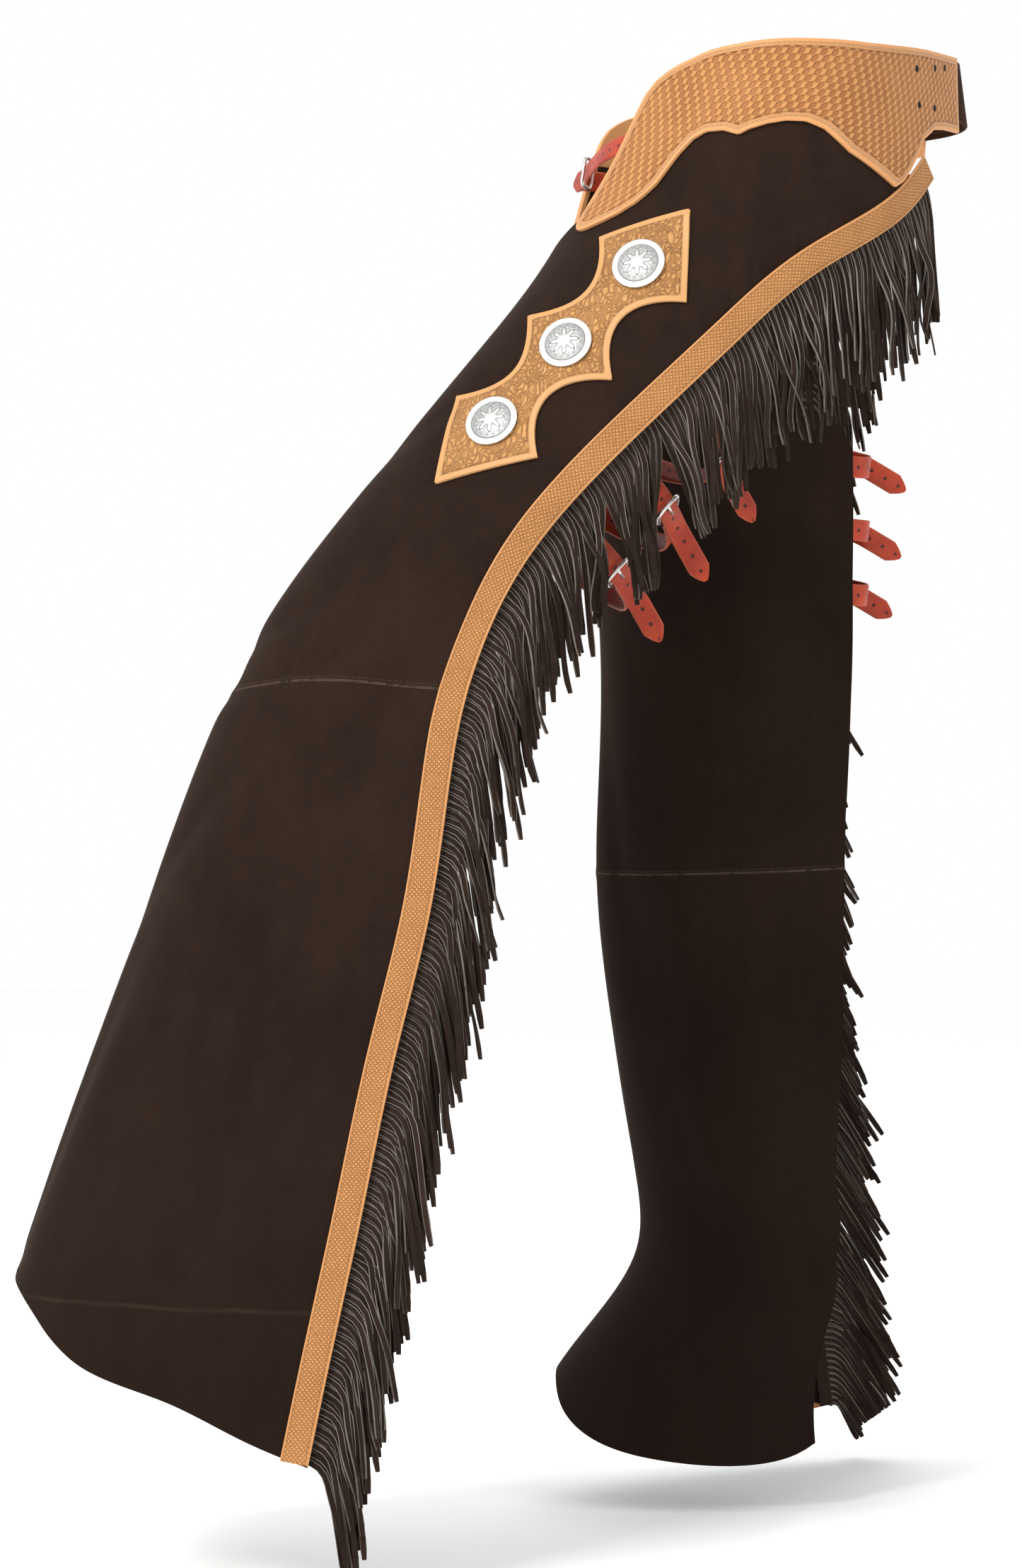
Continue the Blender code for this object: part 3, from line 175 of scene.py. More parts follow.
RIGHT_CREASES: Rows = (
    (-0.100, -0.300, 64.0, 0.060, 0.010, -0.0026),
    (-0.080, -0.365, 74.0, 0.060, 0.009, -0.0024),
    (-0.120, -0.425, 60.0, 0.070, 0.010, 0.0022),
    (-0.165, -0.520, 76.0, 0.050, 0.009, -0.0026),
    (-0.175, -0.600, 68.0, 0.050, 0.010, -0.0026),
    (-0.030, -0.540, 10.0, 0.090, 0.012, -0.0022),
    (0.060, -0.430, 8.0, 0.110, 0.012, -0.0020),
    (0.160, -0.620, 6.0, 0.120, 0.013, -0.0026),
    (0.080, -0.720, 4.0, 0.130, 0.014, 0.0026),
    (0.010, -0.820, -5.0, 0.110, 0.014, -0.0028),
    (-0.090, -0.760, 20.0, 0.090, 0.012, 0.0024),
    (0.110, -0.900, 3.0, 0.080, 0.013, -0.0022),
    (0.200, -0.860, -4.0, 0.080, 0.012, 0.0018),
    (0.170, -0.140, 62.0, 0.050, 0.010, -0.0016),
)

# level and reach
LEFT_INNER: Rows = (
    (-0.045, 0.034), (-0.080, 0.026), (-0.108, 0.016), (-0.135, -0.022), (-0.170, -0.066),
    (-0.210, -0.112), (-0.260, -0.158), (-0.320, -0.196), (-0.400, -0.218), (-0.500, -0.228),
    (-0.600, -0.229), (-0.700, -0.232), (-0.800, -0.241), (-0.860, -0.249),
)

RIGHT_INNER: Rows = (
    (-0.045, 0.034), (-0.080, 0.026), (-0.108, 0.014), (-0.130, -0.026), (-0.160, -0.078),
    (-0.195, -0.130), (-0.218, -0.168), (-0.236, -0.208), (-0.247, -0.232), (-0.262, -0.239),
    (-0.300, -0.236), (-0.360, -0.230), (-0.450, -0.224), (-0.600, -0.217), (-0.700, -0.206),
    (-0.800, -0.187), (-0.860, -0.186), (-0.920, -0.212), (-1.000, -0.256),
)

# reach and level, as in the hem and knee tables below
THIGH_TOP: Rows = (
    (0.262, -0.082), (0.245, -0.079), (0.215, -0.064), (0.190, -0.050), (0.165, -0.039),
    (0.140, -0.037), (0.116, -0.041), (0.090, -0.043), (0.060, -0.044),
)

LEFT_HEM: Rows = (
    (-0.260, -0.846), (-0.180, -0.862), (-0.110, -0.862), (-0.050, -0.852), (0.000, -0.846),
    (0.035, -0.855), (0.078, -0.876), (0.123, -0.898), (0.201, -0.919), (0.264, -0.942),
    (0.320, -0.960),
)

RIGHT_HEM: Rows = (
    (-0.262, -0.988), (-0.250, -1.000), (-0.230, -1.009), (-0.202, -1.012), (-0.150, -1.009),
    (-0.088, -0.997), (-0.037, -0.974), (-0.010, -0.958), (0.040, -0.950), (0.100, -0.957),
    (0.180, -0.972), (0.260, -0.990),
)

LEFT_KNEE: Rows = ((-0.240, -0.452), (0.000, -0.447), (0.060, -0.441), (0.130, -0.441), (0.210, -0.449))
RIGHT_KNEE: Rows = ((-0.230, -0.572), (-0.080, -0.577), (0.000, -0.577), (0.100, -0.571), (0.210, -0.566))

# reach, top, bottom
YOKE: Rows = (
    (0.0150, -0.1080, -0.1180), (0.0190, -0.0860, -0.1230), (0.0250, -0.0520, -0.1240),
    (0.0290, -0.0380, -0.1235), (0.0340, -0.0260, -0.1220), (0.0420, -0.0170, -0.1190),
    (0.0520, -0.0110, -0.1140), (0.0610, -0.0070, -0.1060), (0.0700, -0.0040, -0.0930),
    (0.0780, -0.0010, -0.0740), (0.0850, 0.0010, -0.0630), (0.0930, 0.0025, -0.0580),
    (0.1050, 0.0040, -0.0575), (0.1170, 0.0055, -0.0610), (0.1240, 0.0060, -0.0570),
    (0.1350, 0.0065, -0.0535), (0.1470, 0.0065, -0.0515), (0.1600, 0.0065, -0.0520),
    (0.1740, 0.0065, -0.0570), (0.1980, 0.0065, -0.0720), (0.2250, 0.0080, -0.0830),
    (0.2500, 0.0100, -0.0930), (0.2570, 0.0105, -0.0880), (0.2640, 0.0110, -0.0740),
    (0.2740, 0.0118, -0.0550), (0.2900, 0.0125, -0.0455), (0.3100, 0.0135, -0.0430),
    (0.3380, 0.0150, -0.0420),
)


def unit(vector: Array) -> Array:
    """Vectors of length one, along the last axis."""
    return vector / np.linalg.norm(vector, axis=-1, keepdims=True)


def along(first: Array, second: Array) -> Array:
    """Dot product over the last axis, kept as a column."""
    return np.sum(first * second, axis=-1, keepdims=True)


def travelled(points: Array) -> Array:
    """Distance run at each point of a line."""
    return np.concatenate([[0.0], np.cumsum(np.linalg.norm(np.diff(points, axis=0), axis=1))])


def side_by_side(*columns: Array) -> Array:
    """Columns of one table."""
    return np.stack(columns, axis=1)


def cell(share: Array, count: int) -> Array:
    """Number of the grid line at a share of the way, out of a count."""
    return np.round(share * count).astype(int)


def ease(part: Union[float, Array]) -> Array:
    """Smooth step from 0 to 1."""
    part = np.clip(part, 0.0, 1.0)
    return part * part * (3.0 - 2.0 * part)


def curve(knots: Array, values: Array, at: Array) -> Array:
    """Natural cubic curve, straight beyond both ends.

    Args:
        knots: rising knot places.
        values: the value at each knot.
        at: where the curve is read.

    Returns:
        The values there.
    """
    knots = np.asarray(knots, dtype=float)
    values = np.asarray(values, dtype=float)
    at = np.asarray(at, dtype=float)
    step = np.diff(knots)
    slope = np.diff(values) / step
    count = len(knots)
    system = np.eye(count)
    right = np.zeros(count)
    for row in range(1, count - 1):
        system[row, row - 1:row + 2] = (step[row - 1], 2.0 * (step[row - 1] + step[row]), step[row])
        right[row] = 6.0 * (slope[row] - slope[row - 1])
    bend = np.linalg.solve(system, right)
    left = np.clip(np.searchsorted(knots, at) - 1, 0, count - 2)
    width = step[left]
    inside = np.clip(at, knots[0], knots[-1])
    near = (knots[left + 1] - inside) / width
    far = 1.0 - near
    result = near * values[left] + far * values[left + 1]
    result += ((near ** 3 - near) * bend[left] + (far ** 3 - far) * bend[left + 1]) * width ** 2 / 6.0
    first = slope[0] - step[0] * bend[1] / 6.0
    last = slope[-1] + step[-1] * bend[-2] / 6.0
    result += np.where(at < knots[0], (at - knots[0]) * first, 0.0)
    result += np.where(at > knots[-1], (at - knots[-1]) * last, 0.0)
    return result


def blend_weights(part: Array) -> tuple[Array, Array, Array, Array]:
    """Weights of four neighbouring table entries for a smooth reading."""
    square = part * part
    cube = square * part
    return (
        -0.5 * part + square - 0.5 * cube,
        1.0 - 2.5 * square + 1.5 * cube,
        0.5 * part + 2.0 * square - 1.5 * cube,
        -0.5 * square + 0.5 * cube,
    )


def fold_rise(rows: Rows, reach: Array, level: Array) -> Array:
    """Rise of the leather over soft troughs and ridges.

    Args:
        rows: reach, level, lean in degrees, half length, half width and rise of each.
        reach: reaches to read.
        level: levels to read.

    Returns:
        The rise there, in metres.
    """
    rise = np.zeros(np.broadcast(reach, level).shape)
    for spot_reach, spot_level, lean, half_length, half_width, height in rows:
        turn = math.radians(lean)
        aside = reach - spot_reach
        above = level - spot_level
        lengthwise = above * math.cos(turn) + aside * math.sin(turn)
        across = aside * math.cos(turn) - above * math.sin(turn)
        rise = rise + height * np.exp(-(lengthwise / half_length) ** 2 - (across / half_width) ** 2)
    return rise


@dataclass
class LegForm:
    """Leather surface of one leg.

    Args:
        sections: level cuts through the leather.
        edge: back of the outer rim by level.
        folds: large folds, laid into the table.
        creases: finer ones, read with every lift.
        side: 1 for the wearer's left, -1 for the right.
    """

    sections: Rows
    edge: Rows
    folds: Rows
    creases: Rows
    side: float
    levels: Array = field(init=False)
    reaches: Array = field(init=False)
    table: Array = field(init=False)
    outer_end: Array = field(init=False)
    welt: Optional[Callable[[Array, Array], Array]] = None

    def __post_init__(self) -> None:
        """Cut every level and lay the large folds in."""
        self.levels = np.arange(STEPS.top, STEPS.low, -STEPS.level_step)
        self.reaches = np.arange(-STEPS.reach_in, STEPS.reach_out, STEPS.reach_step)
        rows = np.array(self.sections)[::-1]
        columns = [curve(rows[:, 0], rows[:, index], self.levels) for index in range(1, rows.shape[1])]
        edge = np.array(self.edge)[::-1]
        back = curve(edge[:, 0], edge[:, 1], self.levels)
        self.table = np.zeros((len(self.levels), len(self.reaches), 3))
        self.outer_end = np.zeros(len(self.levels))
        for row, level in enumerate(self.levels):
            knots = np.array([column[row] for column in columns]).reshape(5, 2)
            self.table[row], self.outer_end[row] = self.cut(knots, float(level), float(back[row]))
        reach, level = np.meshgrid(self.reaches, self.levels)
        self.table = self.table + self.normal(reach, level) * fold_rise(self.folds, reach, level)[..., None]

    def cut(self, knots: Array, level: float, back: float) -> tuple[Array, float]:
        """Cut one level.

        Args:
            knots: side and back of the five named points.
            level: its height.
            back: where the outer rim lies.

        Returns:
            The points by reach, and the reach of the outer rim.
        """
        chord = travelled(knots)
        run = np.linspace(0.0, chord[-1], STEPS.fine)
        sides = curve(chord, knots[:, 0], run)
        backs = curve(chord, knots[:, 1], run)
        length = np.concatenate([[0.0], np.cumsum(np.hypot(np.diff(sides), np.diff(backs)))])
        reach = np.interp(chord[2], run, length) - length
        reach, sides, backs = reach[::-1], sides[::-1], backs[::-1]
        wanted = np.clip(self.reaches, reach[0], reach[-1])
        over = self.reaches - wanted
        place = side_by_side(np.interp(wanted, reach, sides), np.interp(wanted, reach, backs))
        ends = side_by_side(sides, backs)
        out_way = unit(ends[-1] - ends[-6])
        in_way = unit(ends[0] - ends[5])
        place = place + np.where(over[:, None] > 0.0, over[:, None] * out_way, -over[:, None] * in_way)
        outer = reach > 0.0
        rim = float(np.interp(back, backs[outer], reach[outer]))
        points = side_by_side(place[:, 0] * self.side, place[:, 1], np.full(len(over), level))
        return points, rim

    def point(self, reach: Array, level: Array) -> Array:
        """Surface points at reaches from the front line and levels."""
        reach, level = np.broadcast_arrays(np.asarray(reach, float), np.asarray(level, float))
        row = (STEPS.top - level) / STEPS.level_step
        column = (reach + STEPS.reach_in) / STEPS.reach_step
        row_cell = np.clip(np.floor(row), 1, len(self.levels) - 3).astype(int)
        column_cell = np.clip(np.floor(column), 1, len(self.reaches) - 3).astype(int)
        total = np.zeros(reach.shape + (3,))
        for down, row_weight in enumerate(blend_weights(row - row_cell)):
            for over, column_weight in enumerate(blend_weights(column - column_cell)):
                entry = self.table[row_cell - 1 + down, column_cell - 1 + over]
                total = total + (row_weight * column_weight)[..., None] * entry
        return total

    def normal(self, reach: Array, level: Array) -> Array:
        """Outward unit normals."""
        step = 0.004
        across = self.point(reach + step, level) - self.point(reach - step, level)
        down = self.point(reach, level - step) - self.point(reach, level + step)
        return unit(np.cross(down, across) * self.side)

    def lifted(self, reach: Array, level: Array, lift: Union[float, Array]) -> Array:
        """Surface points with the creases, moved out along the normal."""
        rise = fold_rise(self.creases, reach, level) + lift
        if self.welt is not None:
            rise = rise + self.welt(reach, level)
        return self.point(reach, level) + self.normal(reach, level) * rise[..., None]

    def outer_rim(self, level: Array) -> Array:
        """Reach of the leather's back rim at a level."""
        return np.interp(-np.asarray(level), -self.levels, self.outer_end)

    def walk(self, spot: tuple[Array, Array], heading: Array, distance: Array,
             steps: int = 3) -> tuple[Array, Array]:
        """Move over the leather by true distances.

        Args:
            spot: reaches and levels to start from.
            heading: the way to go, which is laid on the leather.
            distance: how far to go.
            steps: in how many paces.

        Returns:
            Reaches and levels arrived at.
        """
        reach, level = spot
        pace = np.asarray(distance, float)[..., None] / steps
        small = 0.003
        for _ in range(steps):
            across = (self.point(reach + small, level) - self.point(reach - small, level)) / (2.0 * small)
            rise = (self.point(reach, level + small) - self.point(reach, level - small)) / (2.0 * small)
            facing = self.normal(reach, level)
            ahead = unit(heading - facing * along(heading, facing)) * pace
            aa, ab, bb = along(across, across), along(across, rise), along(rise, rise)
            da, db = along(across, ahead), along(rise, ahead)
            scale = aa * bb - ab * ab
            reach = reach + ((da * bb - db * ab) / scale)[..., 0]
            level = level + ((db * aa - da * ab) / scale)[..., 0]
        return reach, level


@dataclass(frozen=True)
class Sizes:
    """Leather and spacing sizes that the pieces share, in metres."""

    suede: float = 0.0020
    gap: float = 0.0004
    yoke: float = 0.0026
    patch: float = 0.0020
    binding: float = 0.0016
    binding_width: float = 0.019
    strap: float = 0.0022
    strap_width: float = 0.016
    band: float = 0.0028
    band_height: float = 0.046
    fringe_lift: float = 0.0020
    seam: float = 0.0003
    rim_top: float = -0.080
    inner_top: float = -0.045
    floor: float = -1.036

    @property
    def over(self) -> float:
        """Lift of what lies on a panel."""
        return self.suede + self.gap + 0.0003

    @property
    def half_seam(self) -> float:
        """How far each panel stops short of the knee seam."""
        return 0.5 * self.seam * 1.15


SIZES = Sizes()


@dataclass
class Leg:
    """One leg's surface with its rims and its lines.

    Args:
        name: left or right.
        form: its surface.
        inner: inner rim, level and reach.
        knee: knee seam, reach and level.
        hem: hem, reach and level.
    """

    name: str
    form: LegForm
    inner: Rows
    knee: Rows
    hem: Rows

    def __post_init__(self) -> None:
        """Give the surface its raised knee seam."""
        self.form.welt = self.welt

    def welt(self, reach: Array, level: Array) -> Array:
        """Rise of the lapped leather along the knee seam."""
        off = level - self.knee_level(reach)
        return 0.0006 * np.exp(-(off / 0.0036) ** 2)

    def inner_reach(self, level: Array) -> Array:
        """Reach of the inner rim."""
        return np.interp(level, *np.array(sorted(self.inner)).T)

    def knee_level(self, reach: Array) -> Array:
        """Level of the knee seam."""
        return curve(*np.array(self.knee).T, reach)

    def hem_level(self, reach: Array) -> Array:
        """Level of the hem."""
        return curve(*np.array(self.hem).T, reach)

    def meet(self, low: float, high: float, rim: Callable, line: Callable) -> float:
        """Level where a rim meets a line across the leg."""
        for _ in range(40):
            middle = 0.5 * (low + high)
            if middle > float(line(rim(middle))):
                high = middle
            else:
                low = middle
        return 0.5 * (low + high)

    def ends(self, line: Callable, low: float, high: float) -> tuple[float, float]:
        """Levels of a line at the outer and inner rims."""
        return (self.meet(low, high, self.form.outer_rim, line), self.meet(low, high, self.inner_reach, line))

    def knee_ends(self) -> tuple[float, float]:
        """Levels of the knee seam at the two rims."""
        return self.ends(self.knee_level, -0.65, -0.35)

    def hem_ends(self) -> tuple[float, float]:
        """Levels of the hem at the two rims."""
        return self.ends(self.hem_level, -1.06, -0.80)

    def rim_line(self, top: float, bottom: float, count: int, rim: Callable) -> Array:
        """Reach and level pairs, evenly down a rim."""
        levels = np.linspace(top, bottom, 160)
        points = self.form.point(rim(levels), levels)
        travel = travelled(points)
        at = np.interp(np.linspace(0.0, travel[-1], count), travel, levels)
        return side_by_side(rim(at), at)

    def back_line(self, top: float, bottom: float, count: int) -> Array:
        """Outer rim, from a margin below its top to another over the hem."""
        return self.rim_line(SIZES.rim_top - top, self.hem_ends()[0] + bottom, count, self.form.outer_rim)

    def rim_ways(self, level: Array) -> tuple[Array, Array, Array]:
        """Ways down the outer rim, out over it and off the leather.

        Args:
            level: levels on the rim.

        Returns:
            Down, out and facing, each of length one.
        """
        rim = self.form.outer_rim
        down = unit(self.form.point(rim(level - 0.006), level - 0.006)
                    - self.form.point(rim(level + 0.006), level + 0.006))
        facing = self.form.normal(rim(level), level)
        out = unit(np.cross(facing, down))
        ahead = self.form.point(rim(level) + 0.004, level) - self.form.point(rim(level), level)
        return down, out * np.sign(along(out, ahead)), facing

    def calm_ways(self, level: Array) -> tuple[Array, Array, Array]:
        """Rim ways averaged over a stretch of the rim."""
        down, out, facing = self.rim_ways(level)
        for shift in (-0.060, -0.040, -0.020, 0.020, 0.040, 0.060):
            near = np.clip(level + shift, self.hem_ends()[0], SIZES.rim_top)
            ways = self.rim_ways(near)
            down, out, facing = down + ways[0], out + ways[1], facing + ways[2]
        down = unit(down)
        facing = unit(facing - down * along(facing, down))
        out = unit(out - down * along(out, down) - facing * along(out, facing))
        return down, out, facing


# ---------------------------------------------------------------- shading


Value = Union["Thread", float]


class Thread:
    """One socket of a finish, which takes part in sums."""

    def __init__(self, bench: "Bench", socket: bpy.types.NodeSocket) -> None:
        """Keep the socket and the bench that it is on."""
        self.bench = bench
        self.socket = socket

    def __add__(self, other: Value) -> "Thread":
        """Sum."""
        return self.bench.math("ADD", self, other)

    def __radd__(self, other: Value) -> "Thread":
        """Sum from the right."""
        return self.bench.math("ADD", other, self)

    def __sub__(self, other: Value) -> "Thread":
        """Difference."""
        return self.bench.math("SUBTRACT", self, other)

    def __rsub__(self, other: Value) -> "Thread":
        """Difference from the right, as in 1 - mask."""
        return self.bench.math("SUBTRACT", other, self)

    def __mul__(self, other: Value) -> "Thread":
        """Product."""
        return self.bench.math("MULTIPLY", self, other)

    def __rmul__(self, other: Value) -> "Thread":
        """Product from the right."""
        return self.bench.math("MULTIPLY", other, self)


class Bench:
    """Lays out the nodes of one material."""

    def __init__(self, name: str) -> None:
        """Start a material with its shader."""
        self.material = bpy.data.materials.new(name)
        self.material.use_nodes = True
        self.tree = self.material.node_tree
        self.shader = self.tree.nodes["Principled BSDF"]

    def node(self, kind: str, settings: Optional[dict] = None, inputs: Optional[dict] = None,
             out: Union[int, str] = 0) -> Thread:
        """Add any node.

        Args:
            kind: its type, without the ShaderNode prefix.
            settings: its own settings.
            inputs: values or threads by socket name or number.
            out: which output is wanted.

        Returns:
            That output.
        """
        made = self.tree.nodes.new("ShaderNode" + kind)
        for name, value in (settings or {}).items():
            setattr(made, name, value)
        for name, value in (inputs or {}).items():
            self.feed(made.inputs[name], value)
        return Thread(self, made.outputs[out])

    def feed(self, socket: bpy.types.NodeSocket, value: Union[Value, Colour]) -> None:
        """Link a thread to a socket, or set a plain value on it."""
        if isinstance(value, Thread):
            self.tree.links.new(value.socket, socket)
        elif isinstance(value, tuple) and socket.type == "RGBA":
            socket.default_value = (*value, 1.0)
        else:
            socket.default_value = value

    def math(self, operation: str, *values: Value) -> Thread:
        """One Math node."""
        return self.node("Math", {"operation": operation}, dict(enumerate(values)))

    def step(self, value: Value, low: float, high: float) -> Thread:
        """Smooth 0 to 1 as a value goes from low to high."""
        return self.node("MapRange", {"interpolation_type": "SMOOTHSTEP"},
                         {"Value": value, "From Min": low, "From Max": high})

    def line(self, off: Thread, low: float, high: float) -> Thread:
        """One on a line, falling to 0 as the distance off it goes from low to high."""
        return 1.0 - self.step(self.math("ABSOLUTE", off), low, high)

    def dashes(self, run: Thread, half: float, low: float, high: float) -> Thread:
        """Dashes along a run, by half their pitch and the two ends of their rise."""
        return self.step(self.math("PINGPONG", run, half), low, high)

    def apart(self, right: Thread, up: Thread) -> Thread:
        """Distance from its two parts."""
        return self.math("SQRT", right * right + up * up)

    def mix(self, share: Value, first: Union[Thread, Colour], second: Union[Thread, Colour]) -> Thread:
        """Colour between two others."""
        return self.node("Mix", {"data_type": "RGBA"}, {0: share, 6: first, 7: second}, 2)

    def place(self) -> Thread:
        """Object coordinates, in metres."""
        return self.node("TexCoord", out="Object")

    def chart(self, name: str) -> tuple[Thread, Thread, Thread]:
        """A UV map, whole and as its two numbers."""
        whole = self.node("UVMap", {"uv_map": name})
        return whole, *self.split(whole)

    def split(self, whole: Thread) -> tuple[Thread, Thread]:
        """First and second number of coordinates."""
        first = self.node("SeparateXYZ", inputs={0: whole})
        return first, Thread(self, first.socket.node.outputs[1])

    def stretch(self, at: Thread, scale: Colour, turn: float = 0.0) -> Thread:
        """Coordinates scaled along each axis, after a turn in the plane."""
        return self.node("Mapping", {}, {"Vector": at, "Rotation": (0.0, 0.0, turn), "Scale": scale})

    def noise(self, at: Thread, scale: float, detail: float = 2.0, rough: float = 0.5) -> Thread:
        """Cloudy noise from 0 to 1."""
        return self.node("TexNoise", {}, {"Vector": at, "Scale": scale, "Detail": detail, "Roughness": rough})

    def cells(self, at: Thread, scale: float, feature: str = "F1") -> Thread:
        """Cell pattern by distance."""
        return self.node("TexVoronoi", {"feature": feature}, {"Vector": at, "Scale": scale})

    def bump(self, height: Thread, distance: float, under: Optional[Thread] = None) -> Thread:
        """Normal from a height, over another normal."""
        inputs = {"Height": height, "Distance": distance, "Strength": 1.0}
        if under is not None:
            inputs["Normal"] = under
        return self.node("Bump", {}, inputs)

    def done(self, **sockets: Union[Value, Colour]) -> bpy.types.Material:
        """Feed the shader, by socket names with underscores, and give the material."""
        for name, value in sockets.items():
            self.feed(self.shader.inputs[name.replace("_", " ")], value)
        return self.material


@dataclass(frozen=True)
class Suede:
    """Brushed suede with its nap out.

    Args:
        name: the finish's name.
        deep: colour in the brushed-down nap.
        pale: colour where the nap stands.
        thread: colour of stitches and pressed lines, and on cut strands the colour of the painted highlight
            along their edges.
        seam: how far over the knee seam its faint stitch row lies, or 0; when set, the panel is also darkened
            towards the hem as painted shade.
        crease: level of a faint pressed line, or 0.
        cut: whether it is cut into strands, with painted highlights along their edges that are brightest near
            the roots.
    """

    name: str
    deep: Colour
    pale: Colour
    thread: Colour = (0.120, 0.086, 0.062)
    seam: float = 0.0
    crease: float = 0.0
    cut: bool = False

    def make(self) -> bpy.types.Material:
        """Lay out the material."""
        bench = Bench(self.name)
        at = bench.place()
        cloud = bench.noise(at, 7.0, 3.0, 0.55)
        brushed = bench.noise(bench.stretch(at, (48.0, 48.0, 11.0)), 1.0, 4.0, 0.6)
        mottle = bench.noise(at, 140.0, 4.0, 0.6)
        fibre = bench.noise(at, 1100.0, 2.0, 0.6)
        nap = bench.step(cloud * 0.46 + brushed * 0.22 + mottle * 0.18 + fibre * 0.20, 0.34, 0.74)
        colour = bench.mix(nap, self.deep, self.pale)
        height = mottle * 0.5 + fibre * 0.5
        if self.cut:
            _, side, lot = bench.chart("strand")
            _, _, down = bench.chart("fall")
            upper = 1.0 - bench.step(down, 0.15, 0.75)
            edge = 1.0 - bench.dashes(side, 0.5, 0.02, 0.15)
            colour = bench.mix(bench.step(lot, 0.45, 1.0) * 0.50, colour, self.pale)
            # Painted highlight: the strands' long edges are lightened towards the thread colour, most near
            # the roots, as light catching them.
            shine = bench.step(lot * 0.6 + upper * 0.55 + mottle * 0.4, 0.35, 1.15)
            colour = bench.mix(edge * shine * 0.90, colour, self.thread)
        if self.seam > 0.0:
            _, _, up = bench.chart("lay")
            # Painted shade: the panel is darkened towards the hem, from level -0.40 down to -0.95.
            low = 1.0 - bench.step(up, -0.95, -0.40)
            red, green, blue = self.deep
            colour = bench.mix(low * 0.45, colour, (red * 0.8, green * 0.8, blue * 0.8))
            _, run, off = bench.chart("seam")
            row = bench.line(off - self.seam, 0.0003, 0.0008)
            dash = bench.dashes(run, 0.0021, 0.0003, 0.0007)
            pressed = bench.line(off, 0.0003, 0.0011)
            colour = bench.mix(pressed * bench.step(mottle, 0.25, 0.6) * 0.70, colour, self.thread)
            colour = bench.mix(row * dash * 0.14, colour, self.thread)
            height = height + row * dash * 0.6 - pressed * 1.2
        if self.crease < 0.0:
            _, _, level = bench.chart("lay")
            wander = bench.noise(at, 14.0) * 0.006
            line = bench.line(level + wander - (self.crease + 0.003), 0.0004, 0.0022) * bench.noise(at, 30.0)
            colour = bench.mix(line * 0.13, colour, self.thread)
            height = height - line * 0.8
        normal = bench.bump(height, 0.00045, bench.bump(cloud, 0.0015))
        return bench.done(Base_Color=colour, Roughness=0.86 + mottle * 0.10, Normal=normal, Sheen_Weight=0.05,
                          Sheen_Roughness=0.45, Sheen_Tint=(0.70, 0.50, 0.38), Specular_IOR_Level=0.08)


class Stamp(Enum):
    """What is stamped into a piece of tan leather."""

    BASKET = "basket weave"
    LEAVES = "leaves over a stippled ground"
    LENS = "rows of small lens stamps"


